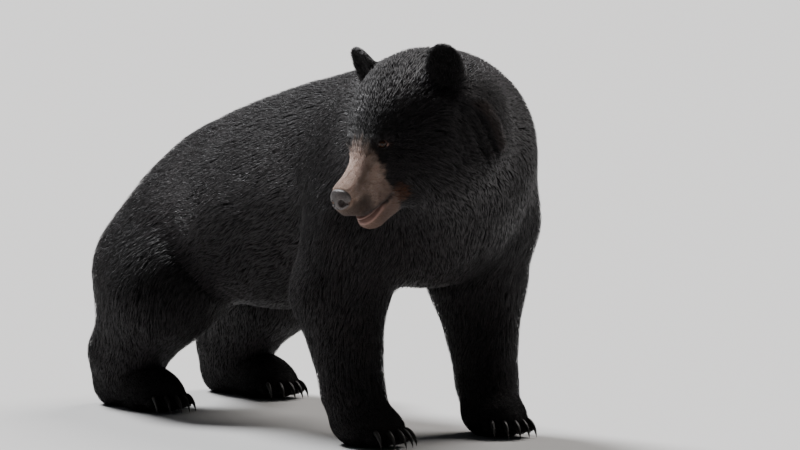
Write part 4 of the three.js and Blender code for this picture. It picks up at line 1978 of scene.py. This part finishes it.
@dataclass
class Coat:
    """Tufts of solid hair that grow from the skin along the lie of the coat.

    The tips of a clump are pulled together. The turns are in radians: over long waves, over short waves
    and at random from tuft to tuft. A lock bows out at its bend, and a tuft's keel is its height over its
    width.
    """

    anatomy: Anatomy
    markings: Markings
    skin: Soup
    corners: np.ndarray
    bare: np.ndarray
    patch: float = 0.003
    clump: float = 12.0
    clump_middle: Span = (0.2, 0.6)
    pull: float = 0.28
    turns: Point = (0.13, 0.08, 0.055)
    bow: float = 0.82
    keel: float = 0.18
    sunk: float = 0.4
    stray_lengths: Span = (0.75, 1.2)
    stray_widths: Span = (0.7, 1.2)
    most_move: float = 0.45
    proudest: float = 0.5
    floor_gap: float = 1.0
    quick_share: float = 0.2
    most_faces: int = 190_000
    layers: tuple[Layer, ...] = (
        Layer(TuftShape.SPIKE, seed=11, coverage=1.5, lift=(0.2, 0.7), shortest=14.0, stretch=0.8),
        Layer(TuftShape.LOCK, seed=12, coverage=2.2, lift=(0.55, 1.0), shortest=14.0),
        Layer(TuftShape.SPIKE, seed=13, coverage=3.2, lift=(0.35, 1.0), longest=14.0),
    )

    def __post_init__(self) -> None:
        """Reads the coat at the skin's points."""
        _, self.pelt, self.owner = self.anatomy.coat.read(self.skin.points)
        self.normal = self.skin.normals()
        self.area = self.skin.areas()
        self.swirl = Ripple(seed=21, wavelength=130.0)
        self.wave = Ripple(seed=22, wavelength=38.0)

    def roots(self, layer: Layer, rng: np.random.Generator) -> tuple[np.ndarray, np.ndarray]:
        """Where a layer's tufts grow: evenly by how much skin a tuft covers.

        Args:
            layer: The layer.
            rng: Source of chance.

        Returns:
            The triangle and the three corner weights of each root.
        """
        pelt = self.pelt[self.skin.faces].mean(1)
        bare = self.bare[self.skin.faces].mean(1)
        fade = layer.fade
        share = smooth(layer.longest + fade, layer.longest - fade, pelt[:, 1])
        share = share * smooth(layer.shortest - fade, layer.shortest + fade, pelt[:, 1])
        covered = 0.5 * pelt[:, 1] * pelt[:, 2]
        rate = np.cumsum(self.area * (1 - bare) * share * layer.coverage / covered)
        count = int(rate[-1] * (1.0))
        where = (np.arange(count) + rng.random(count)) / count * rate[-1]
        face = np.searchsorted(rate, where).clip(0, len(rate) - 1)
        a, b = rng.random((2, count))
        over = a + b > 1
        a[over], b[over] = 1 - a[over], 1 - b[over]
        return face, np.stack([1 - a - b, a, b], 1)

    def comb(self, root: np.ndarray, normal: np.ndarray, lie: np.ndarray, stray: np.ndarray) -> np.ndarray:
        """The way each tuft runs along the skin: the lie of the coat, turned a little from place to place.

        Args:
            root: Where the tufts grow.
            normal: The skin's normals there.
            lie: The lie of the coat there.
            stray: A further turn of each tuft, in radians.

        Returns:
            Unit directions across the normals.
        """
        way = unit(across(lie, normal))
        turn = self.turns[0] * self.swirl.at(root) + self.turns[1] * self.wave.at(root) + stray
        return way * np.cos(turn)[:, None] + np.cross(normal, way) * np.sin(turn)[:, None]

    def grow(self, layer: Layer) -> Growth:
        """Grows a layer.

        Args:
            layer: The layer.

        Returns:
            Its tufts.
        """
        rng = np.random.default_rng(layer.seed)
        face, weights = self.roots(layer, rng)
        corner = self.skin.faces[face]
        root = blend_rows(weights, self.skin.points[corner])
        normal = unit(blend_rows(weights, self.normal[corner]))
        pelt = blend_rows(weights, self.pelt[corner])
        count = len(root)
        depth = pelt[:, 0]
        length = pelt[:, 1] * layer.stretch * rng.uniform(*self.stray_lengths, count)
        width = pelt[:, 2] * rng.uniform(*self.stray_widths, count)
        way = self.comb(root, normal, pelt[:, 3:], rng.normal(0, self.turns[2], count))
        height = depth * rng.uniform(*layer.lift, count)
        draw = (self.lock_of(root) - root) * self.pull * np.minimum(length / self.clump, 1.0)[:, None]
        draw = across(draw, normal)
        tip = self.lay(root + way * length[:, None] + draw, normal, height - depth, length)
        base = root - normal * self.sunk
        middle = base
        if layer.shape is TuftShape.LOCK:
            bend = layer.shape.along[0]
            middle = root + way * (length * bend)[:, None] + draw * bend
            middle = self.lay(middle, normal, height * self.bow - depth, length)
        half = np.cross(normal, way) * (width / 2)[:, None]
        ridge = normal * (width * self.keel)[:, None]
        points = [middle + half, middle - half, middle + ridge, tip, base][: layer.shape.size]
        return Growth(
            shape=layer.shape,
            points=np.stack(points, 1),
            marks=self.markings.at(root),
            chance=rng.random(count),
            place=blend_rows(weights, self.corners[face]),
            owner=self.owner[corner[:, 0]],
        )

    def lock_of(self, root: np.ndarray) -> np.ndarray:
        """The middle of the lock that each root belongs to: a place of its own in each cell of a grid.

        Args:
            root: Where the tufts grow.

        Returns:
            The middles, at random within the inner part of the cells.
        """
        cell = np.floor(root / self.clump)
        chance = np.modf(np.abs(np.sin(cell @ np.array(CELL_MIX))) * CELL_STIR)[0]
        return (cell + self.clump_middle[0] + self.clump_middle[1] * chance) * self.clump

    def lay(
        self, points: np.ndarray, normal: np.ndarray, level: np.ndarray, length: np.ndarray
    ) -> np.ndarray:
        """Moves points to a level under the coat's outside, along the normal and then down the slope.

        Args:
            points: The points.
            normal: The way that each may move.
            level: Signed distance from the coat's outside that each shall have.
            length: The tufts' lengths, which limit the move.

        Returns:
            The moved points.
        """
        distance = self.anatomy.coat.distance
        moved = points
        most = self.most_move * length
        for _ in range(2):
            miss = level - distance(moved)
            moved = moved + normal * np.clip(miss, -most, most)[:, None]
        out = np.flatnonzero(distance(moved) > self.proudest)
        if len(out):
            near = moved[out]
            moved[out] = near - unit(slope(distance, near)) * distance(near)[:, None]
        moved[:, 2] = np.maximum(moved[:, 2], self.floor_gap)
        return moved

    def piece(self, name: str, growths: list[Growth], finish: bpy.types.Material) -> bpy.types.Object:
        """Joins growths of tufts into one piece with its map.

        Args:
            name: The piece's name.
            growths: Sets of tufts.
            finish: The coat's material.

        Returns:
            The piece.
        """
        sizes = [g.count * g.shape.size for g in growths]
        starts = np.cumsum([0, *sizes])
        points = np.concatenate([g.points.reshape(-1, 3) for g in growths])
        faces = np.concatenate([g.faces + start for g, start in zip(growths, starts)])
        marks = {STRAND: np.concatenate([g.strands for g in growths])}
        for key in (MARKS, TINTS):
            marks[key] = np.concatenate([np.repeat(g.marks[key], g.shape.size, 0) for g in growths])
        places = np.concatenate([g.patches(self.patch) for g in growths])
        made = mesh_object(name, Soup(points, faces), self.anatomy.offset, marks)
        layer = made.data.uv_layers.new(name=BAKE_MAP)
        corners = np.zeros(len(made.data.loops), np.int32)
        made.data.loops.foreach_get("vertex_index", corners)
        layer.uv.foreach_set("vector", places[corners].astype(np.float32).ravel())
        return dress(made, finish, "coat")

    def build(self, finish: bpy.types.Material) -> list[bpy.types.Object]:
        """Grows all layers and parts them into pieces by the masses that they grow on.

        Args:
            finish: The coat's material.

        Returns:
            The pieces.
        """
        growths = [self.grow(layer) for layer in self.layers]
        parts = np.array([m.part for m in self.anatomy.coat.masses])
        pieces = []
        for part in sorted(set(parts) - {""}):
            chosen = [g.pick(np.flatnonzero(parts[g.owner] == part)) for g in growths]
            chosen = [g for g in chosen if g.count]
            lots = math.ceil(sum(len(g.faces) for g in chosen) / self.most_faces)
            orders = [np.array_split(np.argsort(g.points[:, 0, 0]), lots) for g in chosen]
            for lot in range(lots):
                some = [g.pick(order[lot]) for g, order in zip(chosen, orders)]
                name = f"coat_{part}" if lots == 1 else f"coat_{part}_{lot + 1}"
                pieces.append(self.piece(name, some, finish))
        return pieces


# ---- the studio


@dataclass(frozen=True)
class Lamp:
    """A soft light from far away.

    It stands at an azimuth and an elevation, and its spread is how wide it looks from the bear, all in
    degrees. Its strength is in watts per square metre.
    """

    name: str
    azimuth: float
    elevation: float
    spread: float
    strength: float
    colour: Colour


@dataclass
class Studio:
    """A pale floor, soft lights and the camera."""

    offset: np.ndarray
    azimuth: float = 55.0
    elevation: float = 4.0
    distance: float = 9.0
    lens: float = 194.4
    clip_end: float = 200.0
    aim: Point = (-50.0, 0.0, 440.0)
    floor_radius: float = 90.0
    floor_sides: int = 96
    air: Colour = (0.80, 0.86, 0.95)
    air_strength: float = 0.05
    lamps: tuple[Lamp, ...] = (
        Lamp("key", 273.0, 50.0, 20.0, 6.2, (0.98, 0.98, 1.0)),
        Lamp("rim", 188.0, 50.0, 36.0, 2.6, (1.0, 0.95, 0.92)),
    )

    @staticmethod
    def way(azimuth: float, elevation: float) -> Vector:
        """The direction from the bear to something that stands at an azimuth and an elevation."""
        a, e = math.radians(azimuth), math.radians(elevation)
        return Vector((math.sin(a) * math.cos(e), -math.cos(a) * math.cos(e), math.sin(e)))

    @staticmethod
    def stand(name: str, data: bpy.types.ID, way: Vector) -> bpy.types.Object:
        """Makes an object that looks back along a direction.

        Args:
            name: Its name.
            data: Its camera or its light.
            way: The direction from the bear to it.

        Returns:
            The object.
        """
        made = bpy.data.objects.new(name, data)
        bpy.context.scene.collection.objects.link(made)
        made.rotation_euler = way.to_track_quat("Z", "Y").to_euler()
        return made

    def camera(self) -> None:
        """Makes the camera."""
        data = bpy.data.cameras.new("camera")
        data.lens = self.lens
        data.clip_end = self.clip_end
        way = self.way(self.azimuth, self.elevation)
        camera = self.stand("camera", data, way)
        camera.location = Vector((self.aim + self.offset) * MM) + way * self.distance
        bpy.context.scene.camera = camera

    def light(self, lamp: Lamp) -> None:
        """Makes a light.

        Args:
            lamp: What it is like.
        """
        data = bpy.data.lights.new(lamp.name, "SUN")
        data.angle = math.radians(lamp.spread)
        data.energy = lamp.strength
        data.color = lamp.colour
        self.stand(lamp.name, data, self.way(lamp.azimuth, lamp.elevation))

    def floor(self) -> None:
        """Makes the floor."""
        count = self.floor_sides
        turn = circle(count)
        rim = np.stack([np.cos(turn), np.sin(turn), turn * 0], 1) * self.floor_radius / MM
        spokes = np.arange(count)
        faces = np.stack([np.full(count, count), spokes, (spokes + 1) % count], 1)
        soup = Soup(np.concatenate([rim, [[0, 0, 0]]]), faces)
        piece = mesh_object("studio_floor", soup, np.zeros(3), {})
        piece.data.materials.append(FloorFinish().make())

    def build(self) -> None:
        """Makes all of it."""
        self.camera()
        self.floor()
        world = bpy.data.worlds.new("studio_air")
        world.use_nodes = True
        inputs = world.node_tree.nodes["Background"].inputs
        inputs["Color"].default_value = (*self.air, 1.0)
        inputs["Strength"].default_value = self.air_strength
        bpy.context.scene.world = world
        for lamp in self.lamps:
            self.light(lamp)


MIDLINE = ("lower_jaw", "head", "neck", "chest", "belly", "rump", "tail")
PAIRED = ("ear", "upper_arm", "forearm", "forepaw", "thigh", "shin", "hindpaw")
FLESH = (*MIDLINE, *(f"{name}_{side}" for name in PAIRED for side in ("left", "right")))


def main() -> None:
    """Builds the bear and the studio."""
    anatomy = Anatomy()
    Studio(anatomy.offset).build()
    face = Face(anatomy)
    markings = Markings(anatomy, face)
    skin = Skin(anatomy, face)
    soup = skin.build()
    hide = skin.dressed(soup, markings)
    corners = unwrap(hide)
    dress(hide, FurFinish("skin_under_coat", shade=0.7).make(skin=True), "coat", *FLESH)
    Nose(anatomy).build()
    Tongue(anatomy).build()
    for side in SIDES:
        Eye(anatomy, face, side).build()
    for paw in anatomy.paws:
        Claws(anatomy, paw).build()
    Coat(anatomy, markings, soup, corners, skin.bare(soup)).build(FurFinish("coat_hair").make(skin=False))


if __name__ == "__main__":
    logging.basicConfig(level=logging.INFO, format="%(relativeCreated)7d %(message)s")
    main()
